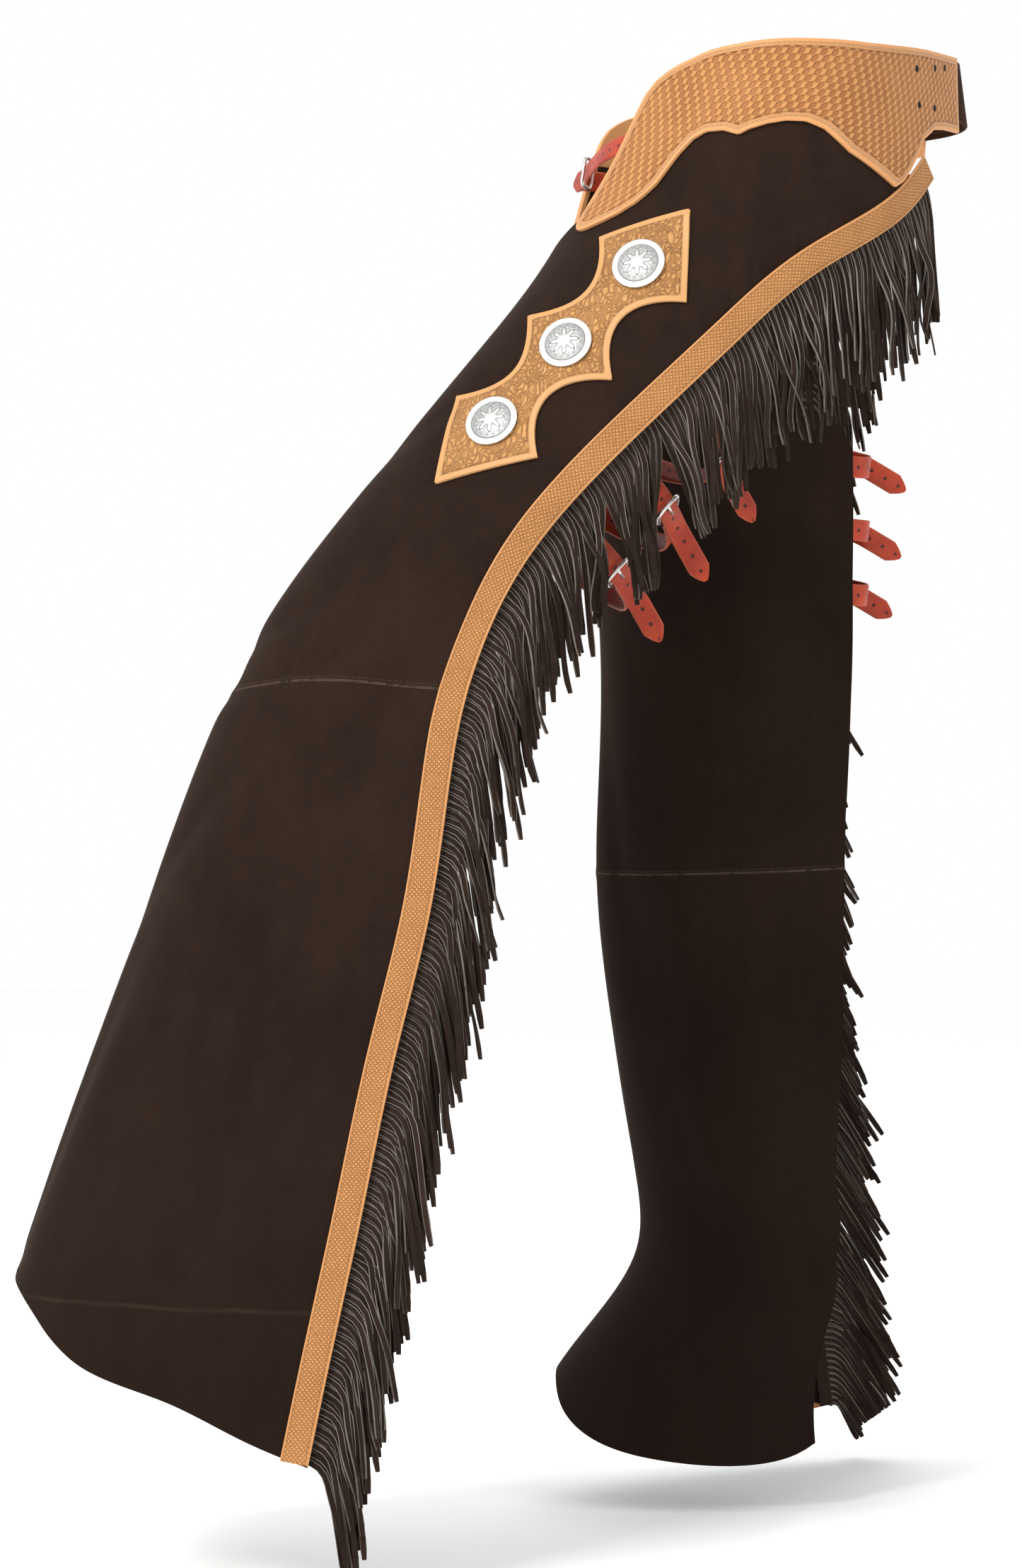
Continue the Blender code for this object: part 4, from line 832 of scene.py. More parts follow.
@dataclass(frozen=True)
class Carved:
    """Tan leather with a stamped field, a smooth border and stitching.

    Args:
        name: the finish's name.
        stamp: the pattern of the field.
        light: colour on high, rubbed places, partly painted light on the raised stamps.
        deep: colour in the stamped recesses, partly their own darker tone and partly painted shade.
        rim: colour of the border and the cut edge.
        border: width of the smooth border.
        stitch: how far in the stitch row lies, or 0.
        thread: colour of the stitches.
        holes: punched holes by reach and level.
        depth: height of the stamps, in metres.
    """

    name: str
    stamp: Stamp
    light: Colour
    deep: Colour
    rim: Colour
    border: float
    stitch: float
    thread: Colour = (0.56, 0.40, 0.24)
    holes: Rows = ()
    depth: float = 0.0012

    def basket(self, bench: Bench, run: Thread, rise: Thread) -> Thread:
        """Height of leaning bars that take turns over and under, from 0 to 1."""
        leaning = run - rise * 0.42
        bars = bench.math("COSINE", leaning * (2.0 * math.pi / 0.0076))
        rows = bench.math("COSINE", rise * (math.pi / 0.0048) + run * 12.0)
        ribs = bench.math("ABSOLUTE", bench.math("SINE", (run + rise * 0.9) * (math.pi / 0.0016)))
        return bench.step(bars * rows, -0.42, 0.48) * (ribs * 0.22 + 0.78)

    def leaves(self, bench: Bench, whole: Thread) -> Thread:
        """Height of small leaf shapes over stippled ground, from 0 to 1."""
        swirl = bench.noise(whole, 90.0, 1.0)
        bent = bench.node("VectorMath", {"operation": "MULTIPLY_ADD"},
                          {0: bench.node("CombineXYZ", inputs={0: swirl, 1: swirl * -1.0}),
                           1: (0.014, 0.014, 0.0), 2: whole})
        edge = bench.cells(bench.stretch(bent, (215.0, 320.0, 1.0)), 1.0, "DISTANCE_TO_EDGE")
        leaf = bench.step(edge, 0.03, 0.24)
        vein = bench.math("ABSOLUTE", bench.math("SINE", bench.split(bent)[0] * 2300.0))
        stipple = bench.cells(whole, 760.0)
        return leaf * (0.62 + vein * 0.26 + stipple * 0.25) + (1.0 - leaf) * stipple * 0.30

    def lenses(self, bench: Bench, whole: Thread) -> Thread:
        """Height of small crossed lens stamps with worn places, from 0 to 1."""
        scaled = bench.stretch(whole, (1.0 / 0.0024, 1.0 / 0.0021, 1.0), math.radians(38.0))
        right, up = (bench.math("SINE", part * math.pi) for part in bench.split(scaled))
        lens = bench.math("ABSOLUTE", right * up)
        worn = bench.step(bench.noise(whole, 420.0, 2.0), 0.32, 0.62)
        return bench.step(lens, 0.02, 0.60) * (worn * 0.65 + 0.35)

    def field(self, bench: Bench, whole: Thread, run: Thread, across: Thread) -> Thread:
        """Height of the stamped field."""
        if self.stamp is Stamp.BASKET:
            return self.basket(bench, run, across)
        if self.stamp is Stamp.LEAVES:
            return self.leaves(bench, whole)
        return self.lenses(bench, whole)

    def make(self) -> bpy.types.Material:
        """Lay out the material."""
        bench = Bench(self.name)
        at = bench.place()
        whole, first, second = bench.chart("lay")
        _, run, depth = bench.chart("rim")
        stamped = self.field(bench, whole, first, second)
        inside = bench.step(depth, self.border - 0.0004, self.border + 0.0006)
        bevel = bench.line(depth - self.border, 0.0002, 0.0009)
        height = stamped * inside + (1.0 - inside) * 0.95 - bevel * 0.55
        cloud = bench.noise(at, 26.0, 3.0, 0.6)
        grain = bench.noise(at, 620.0, 3.0, 0.6)
        pores = bench.cells(at, 1500.0)
        # Lighter on the raised stamps and darker in the recesses: partly the stamped leather's own tone,
        # partly painted light and shade; the cloud adds tone that differs at random.
        worn = bench.step(cloud * 0.5 + height * 0.62 + grain * 0.12, 0.18, 0.92)
        colour = bench.mix(worn, self.deep, self.light)
        colour = bench.mix((1.0 - inside) * 0.45, colour, self.rim)
        cut = 1.0 - bench.step(depth, 0.0002, 0.0008)
        colour = bench.mix(cut * 0.75, colour, self.rim)
        if self.stitch > 0.0:
            off = depth - self.stitch
            row = bench.line(off, 0.00025, 0.00055)
            dash = bench.dashes(run, 0.0017, 0.0002, 0.0005)
            trough = bench.line(off, 0.0003, 0.0011)
            # The stitch groove is darkened: partly its pressed tone, partly painted shade.
            colour = bench.mix(trough * 0.22, colour, self.deep)
            colour = bench.mix(row * dash * 0.55, colour, self.thread)
            height = height - trough * 0.3 + row * dash * 0.4
        dull: Value = 0.0
        for reach, level in self.holes:
            mouth = 1.0 - bench.step(bench.apart(first - reach, second - level), 0.0024, 0.0029)
            colour = bench.mix(mouth, colour, (0.012, 0.005, 0.003))
            dull = bench.math("MAXIMUM", dull, mouth)
        normal = bench.bump(height, self.depth, bench.bump(grain + pores * 0.4, 0.00010))
        rough = bench.math("MAXIMUM", 0.62 - worn * 0.16 + grain * 0.10, dull)
        return bench.done(Base_Color=colour, Roughness=rough, Normal=normal, Specular_IOR_Level=0.36)


@dataclass(frozen=True)
class StrapLeather:
    """Smooth dyed strap leather with rubbed edges.

    Args:
        name: the finish's name.
        light: colour where it is rubbed.
        deep: colour where the dye is full.
        rim: colour of the cut edges.
        width: width of the strap, which the chart's second number crosses.
        stitch: how far in the stitch rows lie, or 0.
        punch: pitch of the buckle holes, or 0.
        gloss: roughness where it is smooth.
        shine: strength of its reflections.
    """

    name: str
    light: Colour
    deep: Colour
    rim: Colour
    width: float
    stitch: float = 0.0
    punch: float = 0.0
    gloss: float = 0.42
    shine: float = 0.30

    def make(self) -> bpy.types.Material:
        """Lay out the material."""
        bench = Bench(self.name)
        at = bench.place()
        _, run, across = bench.chart("lay")
        edge = bench.math("MINIMUM", across, self.width - across)
        cloud = bench.noise(at, 45.0, 3.0, 0.6)
        grain = bench.noise(at, 700.0, 3.0, 0.6)
        colour = bench.mix(bench.step(cloud + grain * 0.2, 0.35, 0.85), self.deep, self.light)
        rubbed = 1.0 - bench.step(edge + cloud * 0.0010, 0.0006, 0.0021)
        colour = bench.mix(rubbed * 0.70, colour, self.rim)
        height = grain - rubbed * 0.8
        if self.stitch > 0.0:
            row = bench.line(edge - self.stitch, 0.0003, 0.0007)
            dash = bench.dashes(run, 0.0018, 0.0003, 0.0006)
            colour = bench.mix(row * dash * 0.9, colour, self.rim)
            height = height + row * dash - row * 0.7
        if self.punch > 0.0:
            to_hole = bench.math("PINGPONG", run, 0.5 * self.punch)
            gone = bench.apart(to_hole, across - 0.5 * self.width)
            mouth = 1.0 - bench.step(gone, 0.0010, 0.0016)
            colour = bench.mix(mouth * 0.92, colour, (0.020, 0.008, 0.005))
            height = height - mouth * 3.0
        normal = bench.bump(height, 0.00016)
        rough = self.gloss + grain * 0.14 + rubbed * 0.15
        return bench.done(Base_Color=colour, Roughness=rough, Normal=normal, Coat_Weight=0.03,
                          Coat_Roughness=0.3, Specular_IOR_Level=self.shine)


@dataclass(frozen=True)
class Engraved:
    """Silver-coloured metal with a generic engraved flower and a plain rim.

    Args:
        name: the finish's name.
        bright: colour of the polished metal.
        dark: colour down in the cuts.
        petals: how many the flower has.
    """

    name: str
    bright: Colour = (0.82, 0.82, 0.80)
    dark: Colour = (0.13, 0.14, 0.145)
    petals: int = 8

    def make(self) -> bpy.types.Material:
        """Lay out the material."""
        bench = Bench(self.name)
        at = bench.place()
        _, east, north = bench.chart("lay")
        away = bench.apart(east, north)
        angle = bench.math("ARCTAN2", north, east)
        wave = bench.math("COSINE", angle * float(self.petals))
        bloom = 0.40 + wave * 0.15
        inside = 1.0 - bench.step(away - bloom, 0.0, 0.03)
        outline = bench.line(away - bloom, 0.008, 0.034)
        veins = bench.step(bench.math("ABSOLUTE", wave), 0.05, 0.35)
        heart = 1.0 - bench.step(away, 0.13, 0.16)
        scroll = bench.math("SINE", angle * 16.0 + bench.math("SINE", away * 22.0) * 2.0)
        ring = bench.step(away, 0.50, 0.56)
        leaves = bench.step(scroll, -0.30, 0.20) * ring * (1.0 - bench.step(away, 0.70, 0.74))
        rim = bench.step(away, 0.76, 0.79)
        groove = bench.line(away - 0.765, 0.006, 0.022)
        ground = (1.0 - inside) * (1.0 - leaves) * 0.35
        cuts = ground + outline * 0.8 + (1.0 - veins) * inside * (1.0 - heart) * 0.6
        cuts = bench.math("MINIMUM", cuts * (1.0 - rim) + groove * 0.7, 1.0)
        tone = cuts * 0.40 + (1.0 - rim) * 0.50
        tarnish = bench.noise(at, 190.0, 3.0, 0.6)
        colour = bench.mix(tone + bench.step(tarnish, 0.55, 0.85) * 0.06, self.bright, self.dark)
        scratch = bench.noise(bench.stretch(at, (1800.0, 300.0, 1800.0)), 1.0, 2.0)
        normal = bench.bump(1.0 - cuts, 0.00040, bench.bump(scratch, 0.00002))
        rough = 0.44 + cuts * 0.18 + tarnish * 0.10
        return bench.done(Base_Color=colour, Roughness=rough, Normal=normal, Metallic=1.0)


@dataclass(frozen=True)
class Wire:
    """Worn nickel-coloured wire.

    Args:
        name: the finish's name.
        bright: colour of the metal.
        dull: colour where it is worn.
    """

    name: str
    bright: Colour = (0.78, 0.77, 0.74)
    dull: Colour = (0.40, 0.38, 0.35)

    def make(self) -> bpy.types.Material:
        """Lay out the material."""
        bench = Bench(self.name)
        at = bench.place()
        cloud = bench.noise(at, 260.0, 3.0, 0.6)
        fine = bench.noise(at, 2600.0, 2.0)
        colour = bench.mix(bench.step(cloud, 0.40, 0.75), self.bright, self.dull)
        return bench.done(Base_Color=colour, Roughness=0.22 + cloud * 0.22, Metallic=1.0,
                          Normal=bench.bump(fine, 0.00003))


# ---------------------------------------------------------------- meshes


def slab(columns: int, rows: int) -> bmesh.types.BMesh:
    """Flat closed sheet with two faces, read as across, along and side."""
    mesh = bmesh.new()
    bmesh.ops.create_grid(mesh, x_segments=columns, y_segments=rows, size=0.5)
    raised = bmesh.ops.extrude_face_region(mesh, geom=mesh.faces[:])
    verts = [item for item in raised["geom"] if isinstance(item, bmesh.types.BMVert)]
    bmesh.ops.translate(mesh, verts=verts, vec=(0.0, 0.0, 1.0))
    return mesh


def lay(mesh: bmesh.types.BMesh, place: Placer, charts: dict[str, Placer]) -> None:
    """Move a sheet's corners to their places and chart them.

    Args:
        mesh: the flat sheet.
        place: points from across, along and side.
        charts: for each UV map, its two numbers from the same.
    """
    mesh.verts.index_update()
    flat = np.array([vert.co[:] for vert in mesh.verts])
    across, run, side = flat[:, 0] + 0.5, flat[:, 1] + 0.5, np.round(flat[:, 2])
    for vert, point in zip(mesh.verts, place(across, run, side).tolist()):
        vert.co = point
    for name, chart in charts.items():
        layer = mesh.loops.layers.uv.new(name)
        pairs = chart(across, run, side).tolist()
        for face in mesh.faces:
            for loop in face.loops:
                loop[layer].uv = pairs[loop.vert.index]


def outline_chart(outline: Array, spots: Array) -> Array:
    """Place along a closed outline and depth inside it, in metres.

    Args:
        outline: corners of the outline, in order.
        spots: points in the same plane.

    Returns:
        Run along the outline and distance from it, for each point.
    """
    closed = np.concatenate([outline, outline[:1]])
    start, step = closed[:-1], np.diff(closed, axis=0)
    length = np.maximum(np.linalg.norm(step, axis=1), 1e-9)
    before = np.concatenate([[0.0], np.cumsum(length)])[:-1]
    offset = spots[:, None, :] - start[None, :, :]
    share = np.clip(np.sum(offset * step[None], axis=2) / length ** 2, 0.0, 1.0)
    gone = np.linalg.norm(offset - share[..., None] * step[None], axis=2)
    nearest = np.argmin(gone, axis=1)
    rows = np.arange(len(spots))
    return side_by_side(before[nearest] + share[rows, nearest] * length[nearest], gone[rows, nearest])


def set_down(mesh: bmesh.types.BMesh, ways: Sequence[Array], spot: Array, lean: float = 0.0) -> None:
    """Turn a mesh and move it to its place.

    Args:
        mesh: modelled about the origin.
        ways: where its x, y and z are to point.
        spot: where its origin is to lie.
        lean: turn about its own y first, in degrees.
    """
    turn = Matrix(ways).transposed().to_4x4() @ Matrix.Rotation(math.radians(lean), 4, "Y")
    bmesh.ops.transform(mesh, matrix=Matrix.Translation(Vector(spot)) @ turn, verts=mesh.verts[:])


def rimmed(share: Array, count: int, length: Array, rim: float) -> Array:
    """Even shares of a length, with one line drawn close to each end."""
    index = np.round(share * count)
    inner = np.clip((index - 1.0) / (count - 2.0), 0.0, 1.0)
    near = rim / length
    placed = near + inner * (1.0 - 2.0 * near)
    return np.where(index < 0.5, 0.0, np.where(index > count - 0.5, 1.0, placed))


def at_rims(*shares: Array) -> Array:
    """Whether each corner is the first or last by any of its shares."""
    tiny = 1e-6
    return np.any([(share < tiny) | (share > 1.0 - tiny) for share in shares], axis=0)


def show(name: str, data: bpy.types.ID) -> bpy.types.Object:
    """Put an object with its data into the scene."""
    item = bpy.data.objects.new(name, data)
    bpy.context.scene.collection.objects.link(item)
    return item


class Workshop:
    """Turns meshes into pieces of the garment."""

    def piece(self, name: str, mesh: bmesh.types.BMesh, finish: bpy.types.Material, slot: str,
              nodes: Sequence[str] = (), angle: float = 40.0) -> bpy.types.Object:
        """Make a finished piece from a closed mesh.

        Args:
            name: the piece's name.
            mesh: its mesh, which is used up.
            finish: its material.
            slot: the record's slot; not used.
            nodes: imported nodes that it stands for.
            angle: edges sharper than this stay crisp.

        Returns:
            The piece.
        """
        bmesh.ops.recalc_face_normals(mesh, faces=mesh.faces[:])
        if mesh.calc_volume(signed=True) < 0.0:
            bmesh.ops.reverse_faces(mesh, faces=mesh.faces[:])
        data = bpy.data.meshes.new(name)
        mesh.to_mesh(data)
        mesh.free()
        data.materials.append(finish)
        data.shade_smooth()
        data.set_sharp_from_angle(angle=math.radians(angle))
        item = show(name, data)
        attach(item, BODY)
        if nodes:
            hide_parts(*nodes)
        LOG.info("%s: %d faces", name, len(data.polygons))
        return item


@dataclass
class LegPiece:
    """Piece of one leg.

    Args:
        leg: the leg.
        shop: where pieces are made.
        finish: its material.
    """

    leg: Leg
    shop: Workshop
    finish: bpy.types.Material

    def over(self, thick: float, side: Array, at_rim: Array, rounding: float = 0.0006) -> Array:
        """Lifts of a piece that lies on a panel.

        Args:
            thick: its thickness.
            side: 0 on its inner face, 1 on its outer face.
            at_rim: which corners lie on its rim.
            rounding: how much lower the outer face is there.

        Returns:
            The lift of each corner.
        """
        return SIZES.over + thick * side - np.where(at_rim & (side > 0.5), rounding, 0.0)


@dataclass
class Panels(LegPiece):
    """Thigh and shin panels, of suede.

    Args:
        columns: grid lines over a panel, less one.
        rows: grid lines down it, less one.
    """

    columns: int = 110
    rows: int = 120

    def top_line(self) -> Array:
        """Top rim of the thigh panel, evenly along."""
        rim, inner = SIZES.rim_top, SIZES.inner_top
        spots = np.array([(float(self.leg.form.outer_rim(rim)), rim), *THIGH_TOP,
                          (float(self.leg.inner_reach(inner)), inner)])
        travel = travelled(spots)
        wanted = np.linspace(0.0, travel[-1], self.columns + 1)
        return side_by_side(np.interp(wanted, travel, spots[:, 0]), np.interp(wanted, travel, spots[:, 1]))

    def cross_line(self, line: Callable, levels: tuple[float, float], shift: float) -> Array:
        """A line across the leg from the outer rim to the inner rim."""
        reaches = np.linspace(float(self.leg.form.outer_rim(levels[0])),
                              float(self.leg.inner_reach(levels[1])), self.columns + 1)
        return side_by_side(reaches, line(reaches) + shift)

    def panel(self, part: str, top: Array, bottom: Array, outer: Array, inner: Array) -> bpy.types.Object:
        """Suede between a top line, a bottom line and two rims."""
        rows = len(outer) - 1

        def spots(across: Array, run: Array) -> Array:
            """Reach and level of every corner."""
            column = cell(across, self.columns)
            row = cell(run, rows)
            s, t = (column / self.columns)[:, None], (row / rows)[:, None]
            spot = (1.0 - t) * top[column] + t * bottom[column] + (1.0 - s) * outer[row] + s * inner[row]
            corner = (1.0 - s) * ((1.0 - t) * top[0] + t * bottom[0])
            return spot - corner - s * ((1.0 - t) * top[-1] + t * bottom[-1])

        def place(across: Array, run: Array, side: Array) -> Array:
            """Corners of the sheet's two faces."""
            spot = spots(across, run)
            return self.leg.form.lifted(spot[:, 0], spot[:, 1], SIZES.suede * side)

        def seam_chart(across: Array, run: Array, _: Array) -> Array:
            """Reach and height over the knee seam."""
            spot = spots(across, run)
            return side_by_side(spot[:, 0], spot[:, 1] - self.leg.knee_level(spot[:, 0]))

        mesh = slab(self.columns, rows)
        lay(mesh, place, {"lay": lambda across, run, _: spots(across, run), "seam": seam_chart})
        name = f"{self.leg.name}_{part}"
        return self.shop.piece(f"{name}_leather", mesh, self.finish, "suede", (f"{name}_panel",))

    def build(self) -> tuple[bpy.types.Object, bpy.types.Object]:
        """Both panels, apart at the knee seam."""
        leg, form = self.leg, self.leg.form
        knee, hem = leg.knee_ends(), leg.hem_ends()
        half = SIZES.half_seam
        thigh = self.panel(
            "thigh", self.top_line(), self.cross_line(leg.knee_level, knee, half),
            leg.rim_line(SIZES.rim_top, knee[0] + half, self.rows + 1, form.outer_rim),
            leg.rim_line(SIZES.inner_top, knee[1] + half, self.rows + 1, leg.inner_reach))
        shin = self.panel(
            "shin", self.cross_line(leg.knee_level, knee, -half), self.cross_line(leg.hem_level, hem, 0.0),
            leg.rim_line(knee[0] - half, hem[0], self.rows + 1, form.outer_rim),
            leg.rim_line(knee[1] - half, hem[1], self.rows + 1, leg.inner_reach))
        return thigh, shin


@dataclass
class Yoke(LegPiece):
    """Scalloped belt half of stamped tan leather."""

    columns: int = 150
    rows: int = 36

    def build(self) -> bpy.types.Object:
        """Make the yoke."""
        table = np.array(YOKE)
        outline = np.concatenate([table[:, :2], table[::-1, ::2]])
        low, high = table[0, 0], table[-1, 0]

        def spots(across: Array, run: Array) -> Array:
            """Reach and level of every corner."""
            share = rimmed(across, self.columns, np.full(across.shape, high - low), 0.0008)
            reach = low + (high - low) * share
            top = np.interp(reach, table[:, 0], table[:, 1])
            bottom = np.interp(reach, table[:, 0], table[:, 2])
            return side_by_side(reach, top + (bottom - top) * rimmed(run, self.rows, top - bottom, 0.0008))

        def place(across: Array, run: Array, side: Array) -> Array:
            """Corners of the two faces, the outer one rounded at its rim."""
            spot = spots(across, run)
            lift = self.over(SIZES.yoke, side, at_rims(run, across))
            return self.leg.form.lifted(spot[:, 0], spot[:, 1], lift)

        def rim_chart(across: Array, run: Array, side: Array) -> Array:
            """Place along the rim and depth, with one depth over the plain back."""
            chart = outline_chart(outline, spots(across, run))
            chart[side < 0.5, 1] = 0.0020
            return chart

        mesh = slab(self.columns, self.rows)
        lay(mesh, place, {"lay": lambda across, run, _: spots(across, run), "rim": rim_chart})
        return self.shop.piece(f"{self.leg.name}_tooled_yoke", mesh, self.finish, "tooled",
                               (f"{self.leg.name}_yoke",))


@dataclass
class Binding(LegPiece):
    """Stamped tan strip down the back rim."""

    columns: int = 420
    rows: int = 8

    def build(self) -> bpy.types.Object:
        """Make the strip."""
        leg = self.leg
        line = leg.back_line(0.002, 0.001, self.columns + 1)
        travel = travelled(leg.form.point(line[:, 0], line[:, 1]))
        _, out, _ = leg.rim_ways(line[:, 1])
        width = SIZES.binding_width

        def depth(run: Array) -> Array:
            """Distance from the strip's inner rim."""
            return width * rimmed(run, self.rows, np.full(run.shape, width), 0.0007)

        def place(across: Array, run: Array, side: Array) -> Array:
            """Corners of the two faces, the outer one rounded at its rims."""
            column = cell(across, self.columns)
            spot = leg.form.walk((line[column, 0], line[column, 1]), out[column], 0.0006 - width + depth(run))
            return leg.form.lifted(*spot, self.over(SIZES.binding, side, at_rims(run), 0.0005))

        def lay_chart(across: Array, run: Array, _: Array) -> Array:
            """Run down the strip and distance over it."""
            shares = np.linspace(0.0, 1.0, self.columns + 1)
            return side_by_side(np.interp(across, shares, travel), depth(run))

        def rim_chart(across: Array, run: Array, _: Array) -> Array:
            """Run down the strip and distance from its nearer rim."""
            chart = lay_chart(across, run, _)
            return side_by_side(chart[:, 0], np.minimum(chart[:, 1], width - chart[:, 1]))

        mesh = slab(self.columns, self.rows)
        lay(mesh, place, {"lay": lay_chart, "rim": rim_chart})
        return self.shop.piece(f"{leg.name}_edging", mesh, self.finish, "edging", (f"{leg.name}_binding",))


@dataclass
class Fringe(LegPiece):
    """Cut suede strands on a narrow strip behind the edging.

    Args:
        seed: start of the uneven lengths and bunches.
        spread: how far the strands lean off a steep rim.
        partings: levels of the rim where the strands part over a buckle.
        count: number of strands.
        segments: stretches in each.
        length: a strand's usual length.
        width: its width.
        thick: its thickness.
        strip: width of the strip that they are cut from.
        margin: how far the first and last roots are from the ends of the rim.
    """

    seed: int
    spread: float
    partings: tuple[float, ...] = ()
    count: int = 380
    segments: int = 14
    length: float = 0.101
    width: float = 0.0042
    thick: float = 0.0011
    strip: float = 0.010
    margin: float = 0.0045

    def strands(self) -> bmesh.types.BMesh:
        """Flat unit strips, one per strand, spaced apart by their number in z."""
        single = slab(1, self.segments)
        template = bpy.data.meshes.new("strand")
        single.to_mesh(template)
        single.free()
        mesh = bmesh.new()
        for index in range(self.count):
            before = len(mesh.verts)
            mesh.from_mesh(template)
            mesh.verts.ensure_lookup_table()
            bmesh.ops.translate(mesh, verts=mesh.verts[before:], vec=(0.0, 0.0, 4.0 * index))
        bpy.data.meshes.remove(template)
        return mesh

    def paths(self) -> tuple[Array, Array, Array]:
        """Centres, widths' ways and thickness ways of every strand by segment."""
        leg, count = self.leg, self.count
        rng = np.random.default_rng(self.seed)
        line = leg.back_line(self.margin, self.margin, count)
        down, out, facing = leg.calm_ways(line[:, 1])
        start = leg.form.lifted(line[:, 0], line[:, 1], -SIZES.fringe_lift - 0.0002)
        start = start - out * 0.004
        index = np.arange(count)
        loose = np.where(index % 2 == 0, 0.15, 1.0)
        bunch = 0.5 * np.sin(index * 0.41 + rng.uniform(0.0, 6.0)) + 0.5 * np.sin(index * 0.16 + 1.3)
        fall = np.array([0.0, 0.0, -1.0])
        layer = 0.04 + loose * (0.05 + 0.05 * (index // 2 % 2) + rng.uniform(-0.04, 0.04, count))
        wander = 0.06 * loose[:, None] * rng.standard_normal((count, 1))
        leave = unit(out + layer[:, None] * facing + wander * down + 0.15 * fall)
        lean = np.maximum(0.15, self.spread * (down @ fall) - out @ fall)
        lean = lean + rng.uniform(-0.09, 0.07, count) * loose
        sway = (0.20 * bunch + 0.07 * rng.standard_normal(count)) * (0.3 + 0.7 * loose)
        level = line[:, 1]
        short = np.zeros(count)
        for parting in self.partings:
            near = np.exp(-((level - parting) / 0.008) ** 2)
            sway = sway * (1.0 - near) + 0.34 * np.sign(parting - level) * near
            short = np.maximum(short, 0.12 * near)
        hang = unit(fall + lean[:, None] * out + layer[:, None] * facing + sway[:, None] * down)
        room = np.maximum(0.045, (start[:, 2] - SIZES.floor) * 0.99)
        uneven = 0.05 * np.sin(0.8 * index + 0.4)
        total = np.minimum(self.length * (1.0 + uneven + rng.uniform(-0.16, 0.09, count) - short), room)
        curl = rng.uniform(0.2, 1.0, (count, 1)) * (facing * 0.22 + down * np.sign(bunch)[:, None] * 0.32)
        curl = curl * loose[:, None]
        phase = rng.uniform(-0.9, 0.9, (count, 1)) + 1.6 * bunch[:, None]
        centres = [start]
        ways = [leave]
        for segment in range(self.segments):
            part = (segment + 0.5) / self.segments
            turn = float(ease(part * 2.9))
            wave = curl * np.sin(part * 7.5 + phase) * float(ease(part * 2.0))
            way = unit(leave * (1.0 - turn) + hang * turn + wave)
            centres.append(centres[-1] + way * (total / self.segments)[:, None])
            ways.append(way)
        centre, way = np.stack(centres, axis=1), np.stack(ways, axis=1)
        wide = unit(down[:, None] - way * along(down[:, None], way))
        thick = unit(np.cross(way, wide))
        thick = thick * np.sign(along(thick, facing[:, None]))
        part = np.linspace(0.0, 1.0, self.segments + 1)[None, :, None]
        most = np.radians(rng.uniform(5.0, 25.0, count) + 40.0 * rng.uniform(0.0, 1.0, count) * loose)
        twist = most[:, None, None] * ease(part * 1.2) * np.where(index % 5 == 1, -1.0, 1.0)[:, None, None]
        cosine, sine = np.cos(twist), np.sin(twist)
        return centre, wide * cosine + thick * sine, thick * cosine - wide * sine

    def build(self) -> bpy.types.Object:
        """Make the strip with its strands."""
        leg = self.leg
        centre, wide, thick = self.paths()
        mesh = self.strands()

        def place(across: Array, run: Array, side: Array) -> Array:
            """Corners of all strands."""
            number = np.floor(side / 4.0 + 0.1).astype(int)
            face = side - 4.0 * number
            row = cell(run, self.segments)
            narrow = np.where(row == self.segments, 0.72, 1.0)
            point = centre[number, row] + wide[number, row] * ((across - 0.5) * self.width * narrow)[:, None]
            return point + thick[number, row] * ((face - 0.5) * self.thick)[:, None]

        def strand_chart(across: Array, run: Array, side: Array) -> Array:
            """Place over the width, and a number that differs from strand to strand."""
            number = np.floor(side / 4.0 + 0.1)
            return side_by_side(across, 0.5 + 0.5 * np.sin(number * 2.4 + np.sin(number * 0.7)))

        lay(mesh, place, {"strand": strand_chart, "fall": lambda across, run, _: side_by_side(across, run)})
        band = slab(self.count, 1)
        line = leg.back_line(0.003, 0.003, self.count + 1)
        _, out, _ = leg.rim_ways(line[:, 1])

        def strip_place(across: Array, run: Array, side: Array) -> Array:
            """Corners of the strip."""
            column = cell(across, self.count)
            spot = leg.form.walk((line[column, 0], line[column, 1]), out[column],
                                 -0.0008 - self.strip * (1.0 - run), 2)
            return leg.form.lifted(*spot, -SIZES.fringe_lift + 0.0016 * (side - 0.5))

        lay(band, strip_place, dict.fromkeys(
            ("strand", "fall"), lambda across, _run, _side: np.full((len(across), 2), 0.5)))
        data = bpy.data.meshes.new("strip")
        band.to_mesh(data)
        band.free()
        mesh.from_mesh(data)
        bpy.data.meshes.remove(data)
        return self.shop.piece(f"{leg.name}_cut_fringe", mesh, self.finish, "fringe",
                               (f"{leg.name}_fringe",), 60.0)


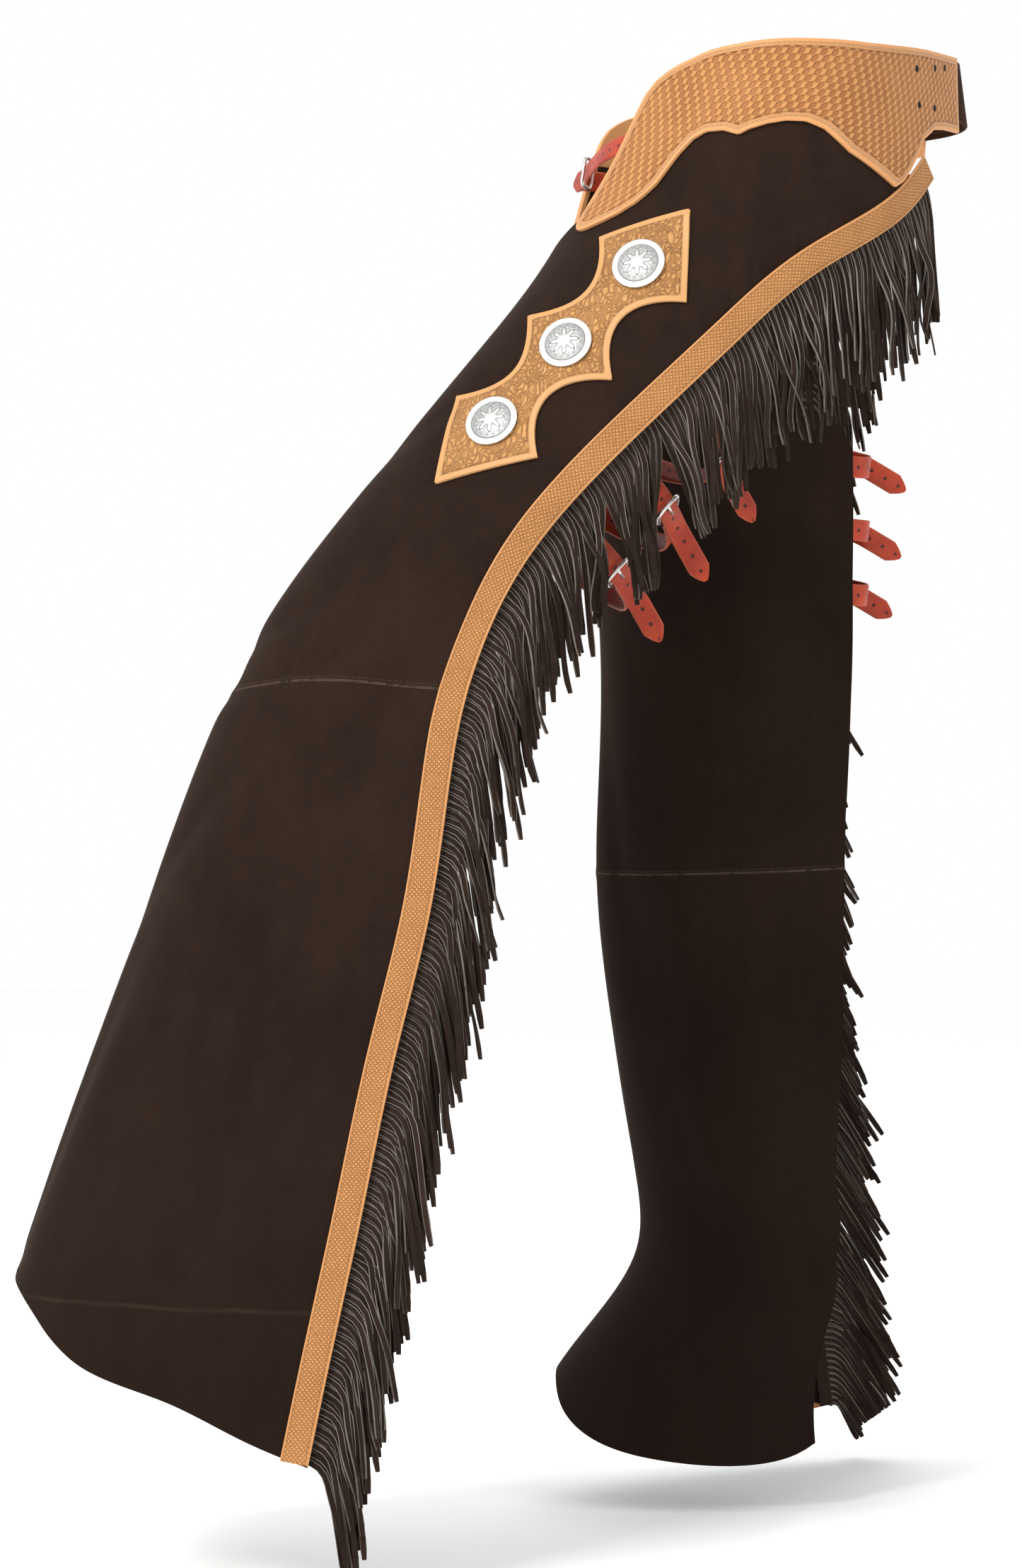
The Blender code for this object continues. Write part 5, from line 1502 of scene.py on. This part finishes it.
@dataclass
class Patch(LegPiece):
    """Tan patch of three diamonds with its conchos.

    Args:
        silver: the conchos' metal.
        middle: reach and level of the middle.
        axis: the way down the patch, on the wearer's left.
        pitch: from one diamond's middle to the next.
        half: half width of a diamond.
        neck: half width between two diamonds.
        top_tip: from the first middle to the upper tip.
        low_tip: from the last middle to the lower tip.
        radius: of a concho.
        rise: of its dome.
    """

    silver: bpy.types.Material
    middle: Spot
    axis: tuple[float, float, float]
    pitch: float = 0.0750
    half: float = 0.0440
    neck: float = 0.0180
    top_tip: float = 0.0540
    low_tip: float = 0.0590
    radius: float = 0.0190
    rise: float = 0.0045
    columns: int = 130
    rows: int = 44

    def half_width(self, at: Array) -> Array:
        """Half width along the patch."""
        top = self.half * (at + self.pitch + self.top_tip) / self.top_tip
        low = self.half * (self.pitch + self.low_tip - at) / self.low_tip
        part = (at + self.pitch) / self.pitch
        part = part - np.floor(part)
        waist = self.neck + (self.half - self.neck) * (1.0 - 2.0 * part) ** 2
        return np.maximum(np.where(at < -self.pitch, top, np.where(at > self.pitch, low, waist)), 0.0008)

    def way(self) -> Array:
        """The way down the patch on this leg."""
        return np.array(self.axis) * np.array([self.leg.form.side, 1.0, 1.0])

    def mid_spots(self, stops: Array) -> tuple[Array, Array]:
        """Reach and level of places down the middle line."""
        reach = np.full(stops.shape, self.middle[0])
        level = np.full(stops.shape, self.middle[1])
        return self.leg.form.walk((reach, level), self.way(), stops, 10)

    def build(self) -> None:
        """Make the patch and its conchos."""
        form = self.leg.form
        start, end = -self.pitch - self.top_tip + 0.0012, self.pitch + self.low_tip - 0.0012
        even = np.linspace(start, end, self.columns - 1)
        stops = np.sort(np.concatenate([even, [-self.pitch, self.pitch]]))
        mid_reach, mid_level = self.mid_spots(stops)
        aside = unit(np.cross(self.way(), form.normal(mid_reach, mid_level)))
        halves = self.half_width(stops)
        outline = np.concatenate([side_by_side(stops, halves), side_by_side(stops, -halves)[::-1]])

        def plan(across: Array, run: Array) -> Array:
            """Flat place of every corner: down the patch and aside."""
            column = cell(across, self.columns)
            share = rimmed(run, self.rows, 2.0 * halves[column] + 0.002, 0.0006)
            return side_by_side(stops[column], halves[column] * (2.0 * share - 1.0))

        def place(across: Array, run: Array, side: Array) -> Array:
            """Corners of the two faces, the outer one rounded at its rim."""
            column = cell(across, self.columns)
            flat = plan(across, run)
            spot = form.walk((mid_reach[column], mid_level[column]), aside[column], flat[:, 1], 4)
            return form.lifted(*spot, self.over(SIZES.patch, side, at_rims(run, across)))

        mesh = slab(self.columns, self.rows)
        lay(mesh, place, {
            "lay": lambda across, run, _: plan(across, run),
            "rim": lambda across, run, _: outline_chart(outline, plan(across, run)),
        })
        name = self.leg.name
        self.shop.piece(f"{name}_diamond_patch", mesh, self.finish, "patch", (f"{name}_patch",))
        for number, stop in enumerate((-self.pitch, 0.0, self.pitch), start=1):
            self.concho(number, stop)

    def concho(self, number: int, stop: float) -> None:
        """One domed disc on the patch.

        Args:
            number: 1 at the top.
            stop: its place down the patch.
        """
        form = self.leg.form
        reach, level = self.mid_spots(np.array([stop]))
        facing = form.normal(reach, level)[0]
        ahead = unit(self.way() - facing * float(np.dot(self.way(), facing)))
        seat = form.lifted(reach, level, SIZES.over + SIZES.patch + SIZES.gap)[0]
        mesh = self.disc()
        set_down(mesh, (ahead, np.cross(facing, ahead), facing), seat)
        name = self.leg.name
        self.shop.piece(f"{name}_silver_concho_{number}", mesh, self.silver, "silver",
                        (f"{name}_concho_{number}",), 50.0)

    def disc(self) -> bmesh.types.BMesh:
        """Domed disc with a rolled rim, flat behind, charted from its middle."""
        outer, rise = self.radius, self.rise
        profile = (
            (0.0, 0.0), (outer - 0.0008, 0.0), (outer - 0.0002, 0.0005), (outer, 0.0011),
            (outer - 0.0005, 0.0019), (outer - 0.0016, 0.0023), (outer - 0.0028, 0.0021),
            (outer - 0.0036, 0.0016), (outer - 0.0046, 0.0017), (outer * 0.64, rise * 0.66),
            (outer * 0.48, rise * 0.84), (outer * 0.32, rise * 0.94), (outer * 0.16, rise * 0.99),
            (0.0, rise),
        )
        mesh = bmesh.new()
        ring = [mesh.verts.new((radius, 0.0, height)) for radius, height in profile]
        edges = [mesh.edges.new(pair) for pair in zip(ring[:-1], ring[1:])]
        bmesh.ops.spin(mesh, geom=ring + edges, cent=(0.0, 0.0, 0.0), axis=(0.0, 0.0, 1.0),
                       angle=2.0 * math.pi, steps=64, use_merge=True)
        bmesh.ops.remove_doubles(mesh, verts=mesh.verts[:], dist=0.00003)
        layer = mesh.loops.layers.uv.new("lay")
        for face in mesh.faces:
            for loop in face.loops:
                loop[layer].uv = (loop.vert.co.x / outer, loop.vert.co.y / outer)
        return mesh


class StrapRoute:
    """Centre line of a strap with its way, its across and its up."""

    def __init__(self, knots: Array, ups: Array) -> None:
        """Run a smooth line through knots, each with the way off the leg there."""
        knots, ups = np.array(knots), np.array(ups)
        self.marks = travelled(knots)
        self.length = float(self.marks[-1])
        self.at = np.linspace(0.0, self.length, STEPS.fine)
        self.points, self.ups = (
            side_by_side(*(curve(self.marks, column, self.at) for column in table.T))
            for table in (knots, ups))
        self.ways = np.gradient(self.points, self.at, axis=0)

    def read(self, distance: float) -> tuple[Array, Array, Array, Array]:
        """Centre, way, across and up at a distance."""
        centre, way, up = (np.array([np.interp(distance, self.at, column) for column in table.T])
                           for table in (self.points, self.ways, self.ups))
        way = unit(way)
        up = unit(up - way * float(np.dot(up, way)))
        return centre, way, np.cross(up, way), up


Frame = tuple[Array, Array, Array, float]


@dataclass
class Straps:
    """Ribbons, buckles and loose ends that every strap shares.

    Args:
        shop: where pieces are made.
        leather: the strap leather.
        metal: the buckles' wire.
        buckle_length: of the frame, along the strap.
        buckle_wire: the wire's thickness.
        buckle_inner: inner width of the frame.
        buckle_lean: turn that lifts the front bar, in degrees.
        prong: its length.
        clear: from the buckle's middle to where the chape starts.
        rows: grid lines over a strap, less one.
    """

    shop: Workshop
    leather: bpy.types.Material
    metal: bpy.types.Material
    buckle_length: float = 0.022
    buckle_wire: float = 0.0028
    buckle_inner: float = 0.0175
    buckle_lean: float = 24.0
    prong: float = 0.0105
    clear: float = 0.0122
    rows: int = 6

    def ribbon(self, name: str, frames: Sequence[Frame], width: float, thick: float, node: str,
               finish: bpy.types.Material, slot: str) -> bpy.types.Object:
        """Strap through frames.

        Args:
            name: the piece's name.
            frames: centre, across, up and a width factor along it.
            width: its width.
            thick: its thickness.
            node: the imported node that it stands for.
            finish: its leather.
            slot: the record's slot.

        Returns:
            The strap.
        """
        columns = len(frames) - 1
        centre, wide, up = (np.array([frame_[index] for frame_ in frames]) for index in range(3))
        factor = np.array([frame_[3] for frame_ in frames])
        travel = travelled(centre)

        def place(across: Array, run: Array, side: Array) -> Array:
            """Corners of the two faces, rounded at the rims."""
            column = cell(across, columns)
            share = rimmed(run, self.rows, np.full(run.shape, width), 0.0007)
            point = centre[column] + wide[column] * (width * factor[column] * (share - 0.5))[:, None]
            return point + up[column] * (thick * (side - 0.5) * np.where(at_rims(run), 0.55, 1.0))[:, None]

        def chart(across: Array, run: Array, _: Array) -> Array:
            """Run along the strap and distance over it."""
            share = rimmed(run, self.rows, np.full(run.shape, width), 0.0007)
            return side_by_side(travel[cell(across, columns)], width * share)

        mesh = slab(columns, self.rows)
        lay(mesh, place, {"lay": chart})
        return self.shop.piece(name, mesh, finish, slot, (node,), 55.0)

    def frames(self, route: StrapRoute, start: float, end: float,
               sink: Optional[Callable] = None) -> list[Frame]:
        """Frames along a route, sunk below it by a function."""
        count = max(6, int((end - start) / 0.003))
        made = []
        for index in range(count + 1):
            distance = start + (end - start) * index / count
            centre, _, across, up = route.read(distance)
            if sink is not None:
                centre = centre - up * sink(distance)
            made.append((centre, across, up, 1.0))
        return made

    def free_end(self, route: StrapRoute, start: float, direction: Array, length: float) -> list[Frame]:
        """Frames of a loose end that leaves its route, with a pointed tip."""
        centre, way, across, up = route.read(start)
        direction = unit(np.array(direction))
        count = 24
        made = []
        for index in range(count):
            part = float(ease((index + 0.5) / count * 1.7))
            heading = unit(way * (1.0 - part) + direction * part)
            centre = centre + heading * (length / count)
            wide = unit(across - heading * float(np.dot(across, heading)))
            raised = unit(np.cross(heading, wide))
            if float(np.dot(raised, up)) < 0.0:
                raised = -raised
            left = (count - 1 - index) * length / count
            factor = min(1.0, 0.16 + 0.84 * (left / 0.0095) ** 0.75)
            made.append((centre.copy(), wide, raised, factor))
        return made

    def buckle(self, name: str, route: StrapRoute, distance: float, node: str) -> None:
        """Wire frame and prong, set over the strap with the front bar up."""
        centre, way, across, up = route.read(distance)
        mesh = self.buckle_mesh()
        set_down(mesh, (way, across, up), centre - up * 0.0003, self.buckle_lean)
        self.shop.piece(name, mesh, self.metal, "steel", (node,), 180.0)

    def buckle_mesh(self) -> bmesh.types.BMesh:
        """Rounded wire rectangle with its prong, flat in x and y."""
        half_long = 0.5 * (self.buckle_length - self.buckle_wire)
        half_wide = 0.5 * (self.buckle_inner + self.buckle_wire)
        mesh = bmesh.new()
        corner, sides = 0.0042, 8
        stops = []
        for east, north, start in ((1, -1, -90), (1, 1, 0), (-1, 1, 90), (-1, -1, 180)):
            for step in range(6):
                angle = math.radians(start + 18.0 * step)
                stops.append((east * (half_long - corner) + corner * math.cos(angle),
                              north * (half_wide - corner) + corner * math.sin(angle), angle + math.pi / 2))
        radius = 0.5 * self.buckle_wire
        turns = [math.radians(45.0 * step) for step in range(sides)]
        circle = [(radius * math.cos(turn), radius * math.sin(turn)) for turn in turns]
        rings = []
        for x, y, heading in stops:
            out_x, out_y = math.sin(heading), -math.cos(heading)
            rings.append([mesh.verts.new((x + out_x * a, y + out_y * a, b)) for a, b in circle])
        loops = [[mesh.edges.new(pair) for pair in zip(verts, verts[1:] + verts[:1])] for verts in rings]
        for first, second in zip(loops, loops[1:] + loops[:1]):
            bmesh.ops.bridge_loops(mesh, edges=first + second)
        rise = math.tan(math.radians(self.buckle_lean))
        rod = bmesh.ops.create_cone(mesh, cap_ends=True, segments=sides, radius1=0.0012, radius2=0.0008,
                                    depth=self.prong, matrix=Matrix.Rotation(math.pi / 2, 4, "Y"))
        for vert in rod["verts"]:
            share = vert.co.x / self.prong + 0.5
            vert.co.x += -half_long + 0.5 * self.prong
            vert.co.z += share * self.prong * rise - 0.0002
        return mesh

    def pair(self, name: str, route: StrapRoute, buckle_at: float, tip: Array, tip_length: float,
             width: float, nodes: tuple[str, str, str]) -> None:
        """A billet with its loose tip, the buckle and the chape behind it."""
        made = self.frames(route, 0.0, buckle_at + 0.010)
        made += self.free_end(route, buckle_at + 0.010, tip, tip_length)
        self.ribbon(f"{name}_tipped_strap", made, width, SIZES.strap, nodes[0], self.leather, "red_strap")
        self.buckle(f"{name}_wire_buckle", route, buckle_at, nodes[1])
        begin = buckle_at + self.clear

        def sink(distance: float) -> float:
            """How far the chape lies under the route."""
            return (SIZES.strap + SIZES.gap) * (1.0 - float(ease((distance - begin) / 0.06)))

        made = self.frames(route, begin, route.length, sink)
        self.ribbon(f"{name}_buckle_strap", made, width, SIZES.strap, nodes[2], self.leather, "red_strap")


@dataclass
class LegStraps:
    """Three straps behind the thigh of one leg.

    Args:
        leg: the leg.
        straps: the shared strap maker.
        rows: level at the back rim, level at the inner rim, run from rim to buckle.
        back: the way that the straps bulge.
        depth: how far they bulge.
        tip: the way that the loose ends hang, on the wearer's left.
    """

    leg: Leg
    straps: Straps
    rows: Rows
    back: tuple[float, float, float]
    depth: float
    tip: tuple[float, float, float]
    tip_length: float = 0.056

    def route(self, rim_level: float, inner_level: float) -> StrapRoute:
        """The way of one strap from the back rim round to the inner rim."""
        leg, form = self.leg, self.leg.form
        back = unit(np.array(self.back))
        outer_lift = -(SIZES.fringe_lift + 0.0008 + SIZES.gap + 0.5 * SIZES.strap)
        inner_lift = -(0.0013 + 0.5 * SIZES.strap)
        rim_reach = form.outer_rim(rim_level)
        _, out, facing = (way for way in leg.rim_ways(np.array(rim_level)))
        lap = form.walk((np.array(rim_reach), np.array(rim_level)), out, np.array(-0.013), 2)
        inner_reach = leg.inner_reach(inner_level)
        rim = form.lifted(rim_reach, np.array(rim_level), outer_lift)
        end = form.lifted(inner_reach, np.array(inner_level), inner_lift)
        middle, half = 0.5 * (rim + end), 0.5 * (rim - end)
        size = float(np.linalg.norm(half))
        knots = [form.lifted(lap[0], lap[1], outer_lift), rim]
        ups = [form.normal(lap[0], lap[1]), facing]
        for angle in (24.0, 46.0, 68.0, 90.0, 112.0, 134.0, 156.0):
            turn = math.radians(angle)
            knots.append(middle + half * math.cos(turn) + back * self.depth * math.sin(turn))
            ups.append(unit(half * (math.cos(turn) / size) + back * (math.sin(turn) * size / self.depth)))
        inner_lap = inner_reach + 0.020
        knots += [end, form.lifted(inner_lap, np.array(inner_level), inner_lift)]
        ups += [form.normal(inner_reach, inner_level), form.normal(inner_lap, inner_level)]
        return StrapRoute(np.array(knots), np.array(ups))

    def build(self) -> None:
        """Make the three straps."""
        tip = np.array(self.tip) * np.array([self.leg.form.side, 1.0, 1.0])
        name = self.leg.name
        for number, (rim_level, inner_level, run) in enumerate(self.rows, start=1):
            route = self.route(rim_level, inner_level)
            nodes = (f"{name}_billet_{number}", f"{name}_buckle_{number}", f"{name}_chape_{number}")
            self.straps.pair(f"{name}_{number}", route, route.marks[1] + run, tip, self.tip_length,
                             SIZES.strap_width, nodes)


@dataclass
class WaistFittings:
    """Front strap and back band between the two legs' yokes."""

    left: Leg
    right: Leg
    straps: Straps
    band_finish: bpy.types.Material

    def route(self, level_at: Callable, lift: float, reaches: Sequence[float]) -> StrapRoute:
        """Route across the waist from the left leg's surface to the right's."""
        knots, ups = [], []
        for form, line in ((self.left.form, reaches), (self.right.form, reaches[::-1])):
            for reach in line:
                level = level_at(reach)
                knots.append(form.lifted(np.array(reach), np.array(level), lift))
                ups.append(form.normal(reach, level))
        return StrapRoute(np.array(knots), np.array(ups))

    def build(self) -> None:
        """Make the front strap and the back band."""
        front = self.route(lambda reach: -0.0560 - 0.0120 * float(ease((0.045 - reach) / 0.130)),
                           -0.0009 - 0.5 * SIZES.strap, (0.046, 0.034, 0.020, -0.010, -0.040, -0.068))
        tip = unit(front.read(0.168)[1] + np.array([0.0, -0.16, -0.14]))
        self.straps.pair("front", front, 0.118, tip, 0.040, 0.015,
                         ("front_billet", "front_buckle", "front_chape"))
        back = self.route(lambda reach: -0.0080, SIZES.suede - 0.5 * SIZES.band, (0.314, 0.326, 0.338, 0.352))
        self.straps.ribbon("dark_back_band", self.straps.frames(back, 0.0, back.length), SIZES.band_height,
                           SIZES.band, "back_band", self.band_finish, "band")


@dataclass
class Studio:
    """Floor, lights and camera.

    Args:
        azimuth: the camera's way round, 0 from the front and 90 from the wearer's left.
        distance: from the target to the camera.
        target: what it looks at.
        film: height of the camera's frame, in millimetres.
        lens: its focal length, from the photo's height and the long lens's in pixels.
        floor_level: the floor's height.
    """

    azimuth: float = 84.0
    distance: float = 3.4
    target: tuple[float, float, float] = (0.0, -0.19, -0.51)
    film: float = 36.0
    lens: float = 6615.0 / 2216.0 * 36.0
    floor_level: float = -1.046

    def aim(self, name: str, data: bpy.types.ID, place: Sequence[float]) -> bpy.types.Object:
        """Put a light or a camera at a place, looking at the target."""
        item = show(name, data)
        item.location = place
        item.rotation_euler = (Vector(self.target) - Vector(place)).to_track_quat("-Z", "Y").to_euler()
        return item

    def floor(self) -> None:
        """Plain pale floor."""
        mesh = bmesh.new()
        bmesh.ops.create_grid(mesh, x_segments=1, y_segments=1, size=9.0,
                              matrix=Matrix.Translation((0.0, 0.0, self.floor_level)))
        data = bpy.data.meshes.new("studio_floor")
        mesh.to_mesh(data)
        mesh.free()
        bench = Bench("studio_floor")
        cloud = bench.noise(bench.place(), 2.0, 2.0)
        colour = bench.mix(cloud, (0.96, 0.96, 0.955), (0.975, 0.975, 0.97))
        data.materials.append(bench.done(Base_Color=colour, Roughness=0.75))
        item = show("studio_floor", data)

    def light(self, name: str, place: tuple[float, float, float], size: float, power: float,
              tint: Colour = (1.0, 1.0, 1.0)) -> None:
        """One soft square light that looks at the middle of the garment."""
        data = bpy.data.lights.new(name, "AREA")
        data.shape = "SQUARE"
        data.size = size
        data.energy = power
        data.color = tint
        self.aim(name, data, place)

    def build(self) -> None:
        """Set the studio up."""
        self.floor()
        world = bpy.data.worlds.new("pale_studio")
        world.use_nodes = True
        sky = world.node_tree.nodes["Background"].inputs
        sky["Color"].default_value = (1.0, 1.0, 1.0, 1.0)
        sky["Strength"].default_value = 1.0
        bpy.context.scene.world = world
        bpy.context.scene.view_settings.view_transform = "Standard"
        self.light("key", (2.4, -2.4, 2.2), 1.3, 120.0, (1.0, 0.98, 0.95))
        self.light("fill", (2.4, 2.2, 0.6), 2.2, 14.0, (0.96, 0.98, 1.0))
        self.light("back", (-2.4, 0.6, 1.8), 1.8, 26.0)
        turn = math.radians(self.azimuth)
        place = Vector(self.target) + self.distance * Vector((math.sin(turn), -math.cos(turn), 0.0))
        data = bpy.data.cameras.new("photo_view")
        data.sensor_fit = "VERTICAL"
        data.sensor_height = self.film
        data.lens = self.lens
        data.clip_start = 0.05
        bpy.context.scene.camera = self.aim("photo_view", data, place)


@dataclass(frozen=True)
class Finishes:
    """Every material of the garment."""

    left_suede: Suede = Suede("left_suede", (0.0125, 0.0063, 0.0043), (0.0260, 0.0135, 0.0092), seam=0.0024,
                              crease=-0.858)
    # The right leg's suede is a darker copy of the left's: painted shade on the leg that stands in shadow.
    right_suede_painted_shade: Suede = Suede("right_suede_painted_shade", (0.0098, 0.0052, 0.0036), (0.0205, 0.0109, 0.0075), seam=0.0024)
    # The fringe's third colour is the painted highlight on its strands' edges.
    fringe: Suede = Suede("fringe_suede", (0.0110, 0.0066, 0.0050), (0.0300, 0.0185, 0.0138),
                          (0.250, 0.222, 0.195), cut=True)
    yoke: Carved = Carved("basket_stamped", Stamp.BASKET, (0.600, 0.270, 0.086), (0.300, 0.108, 0.027),
                          (0.610, 0.295, 0.125), 0.0058, 0.0034, depth=0.0018,
                          holes=((0.256, -0.005), (0.288, 0.000), (0.308, 0.003),
                                 (0.262, -0.031), (0.288, -0.030)))
    edging: Carved = Carved("lens_stamped", Stamp.LENS, (0.600, 0.285, 0.092), (0.360, 0.142, 0.038),
                            (0.500, 0.225, 0.078), 0.0018, 0.0)
    patch: Carved = Carved("leaf_stamped", Stamp.LEAVES, (0.540, 0.272, 0.088), (0.245, 0.100, 0.027),
                           (0.520, 0.275, 0.112), 0.0048, 0.0)
    red: StrapLeather = StrapLeather("red_strap_leather", (0.440, 0.044, 0.010), (0.280, 0.022, 0.007),
                                     (0.450, 0.085, 0.035), 0.016, punch=0.012)
    band: StrapLeather = StrapLeather("dark_band_leather", (0.036, 0.014, 0.007), (0.016, 0.007, 0.004),
                                      (0.060, 0.030, 0.018), 0.046, stitch=0.0045, gloss=0.80, shine=0.03)
    silver: Engraved = Engraved("engraved_silver")
    wire: Wire = Wire("nickel_wire")


def main() -> None:
    """Build and dress the whole garment."""
    logging.basicConfig(level=logging.INFO, format="%(name)s: %(message)s")
    studio = Studio()
    studio.build()
    finishes = Finishes()
    shop = Workshop()
    left = Leg("left", LegForm(LEFT_SECTIONS, LEFT_EDGE, LEFT_FOLDS, LEFT_CREASES, 1.0),
               LEFT_INNER, LEFT_KNEE, LEFT_HEM)
    right = Leg("right", LegForm(RIGHT_SECTIONS, RIGHT_EDGE, RIGHT_FOLDS, RIGHT_CREASES, -1.0),
                RIGHT_INNER, RIGHT_KNEE, RIGHT_HEM)
    fringe = finishes.fringe.make()
    tooled = finishes.yoke.make()
    edging = finishes.edging.make()
    patch = finishes.patch.make()
    silver = finishes.silver.make()
    straps = Straps(shop, finishes.red.make(), finishes.wire.make())
    # Thigh and shin, each by flat width, flat height and area of its cut
    left_cut = ((0.46, 0.50, 0.145), (0.52, 0.51, 0.218))
    right_cut = ((0.47, 0.57, 0.195), (0.50, 0.44, 0.178))
    for leg, suede, fall, ((wide, deep, area), (shin_wide, shin_deep, shin_area)) in (
        (left, finishes.left_suede, (11, 0.15, (-0.259, -0.300)), left_cut),
        (right, finishes.right_suede_painted_shade, (23, 0.46), right_cut),
    ):
        thigh, shin = Panels(leg, shop, suede.make()).build()
        yoke = Yoke(leg, shop, tooled).build()
        binding = Binding(leg, shop, edging).build()
        strands = Fringe(leg, shop, fringe, *fall).build()
    Patch(left, shop, patch, silver, (0.093, -0.208), (0.025, -0.683, -0.730)).build()
    Patch(right, shop, patch, silver, (0.088, -0.232), (0.000, -0.060, -0.998)).build()
    LegStraps(left, straps, ((-0.236, -0.244, 0.066), (-0.282, -0.292, 0.061), (-0.324, -0.334, 0.067)),
              (0.0, 0.740, -0.670), 0.078, (-0.04, 0.500, -0.865)).build()
    LegStraps(right, straps, ((-0.254, -0.276, 0.060), (-0.309, -0.322, 0.058), (-0.352, -0.370, 0.046)),
              (0.0, 0.995, -0.090), 0.028, (0.16, 0.860, -0.480)).build()
    WaistFittings(left, right, straps, finishes.band.make()).build()


if __name__ == "__main__":
    main()
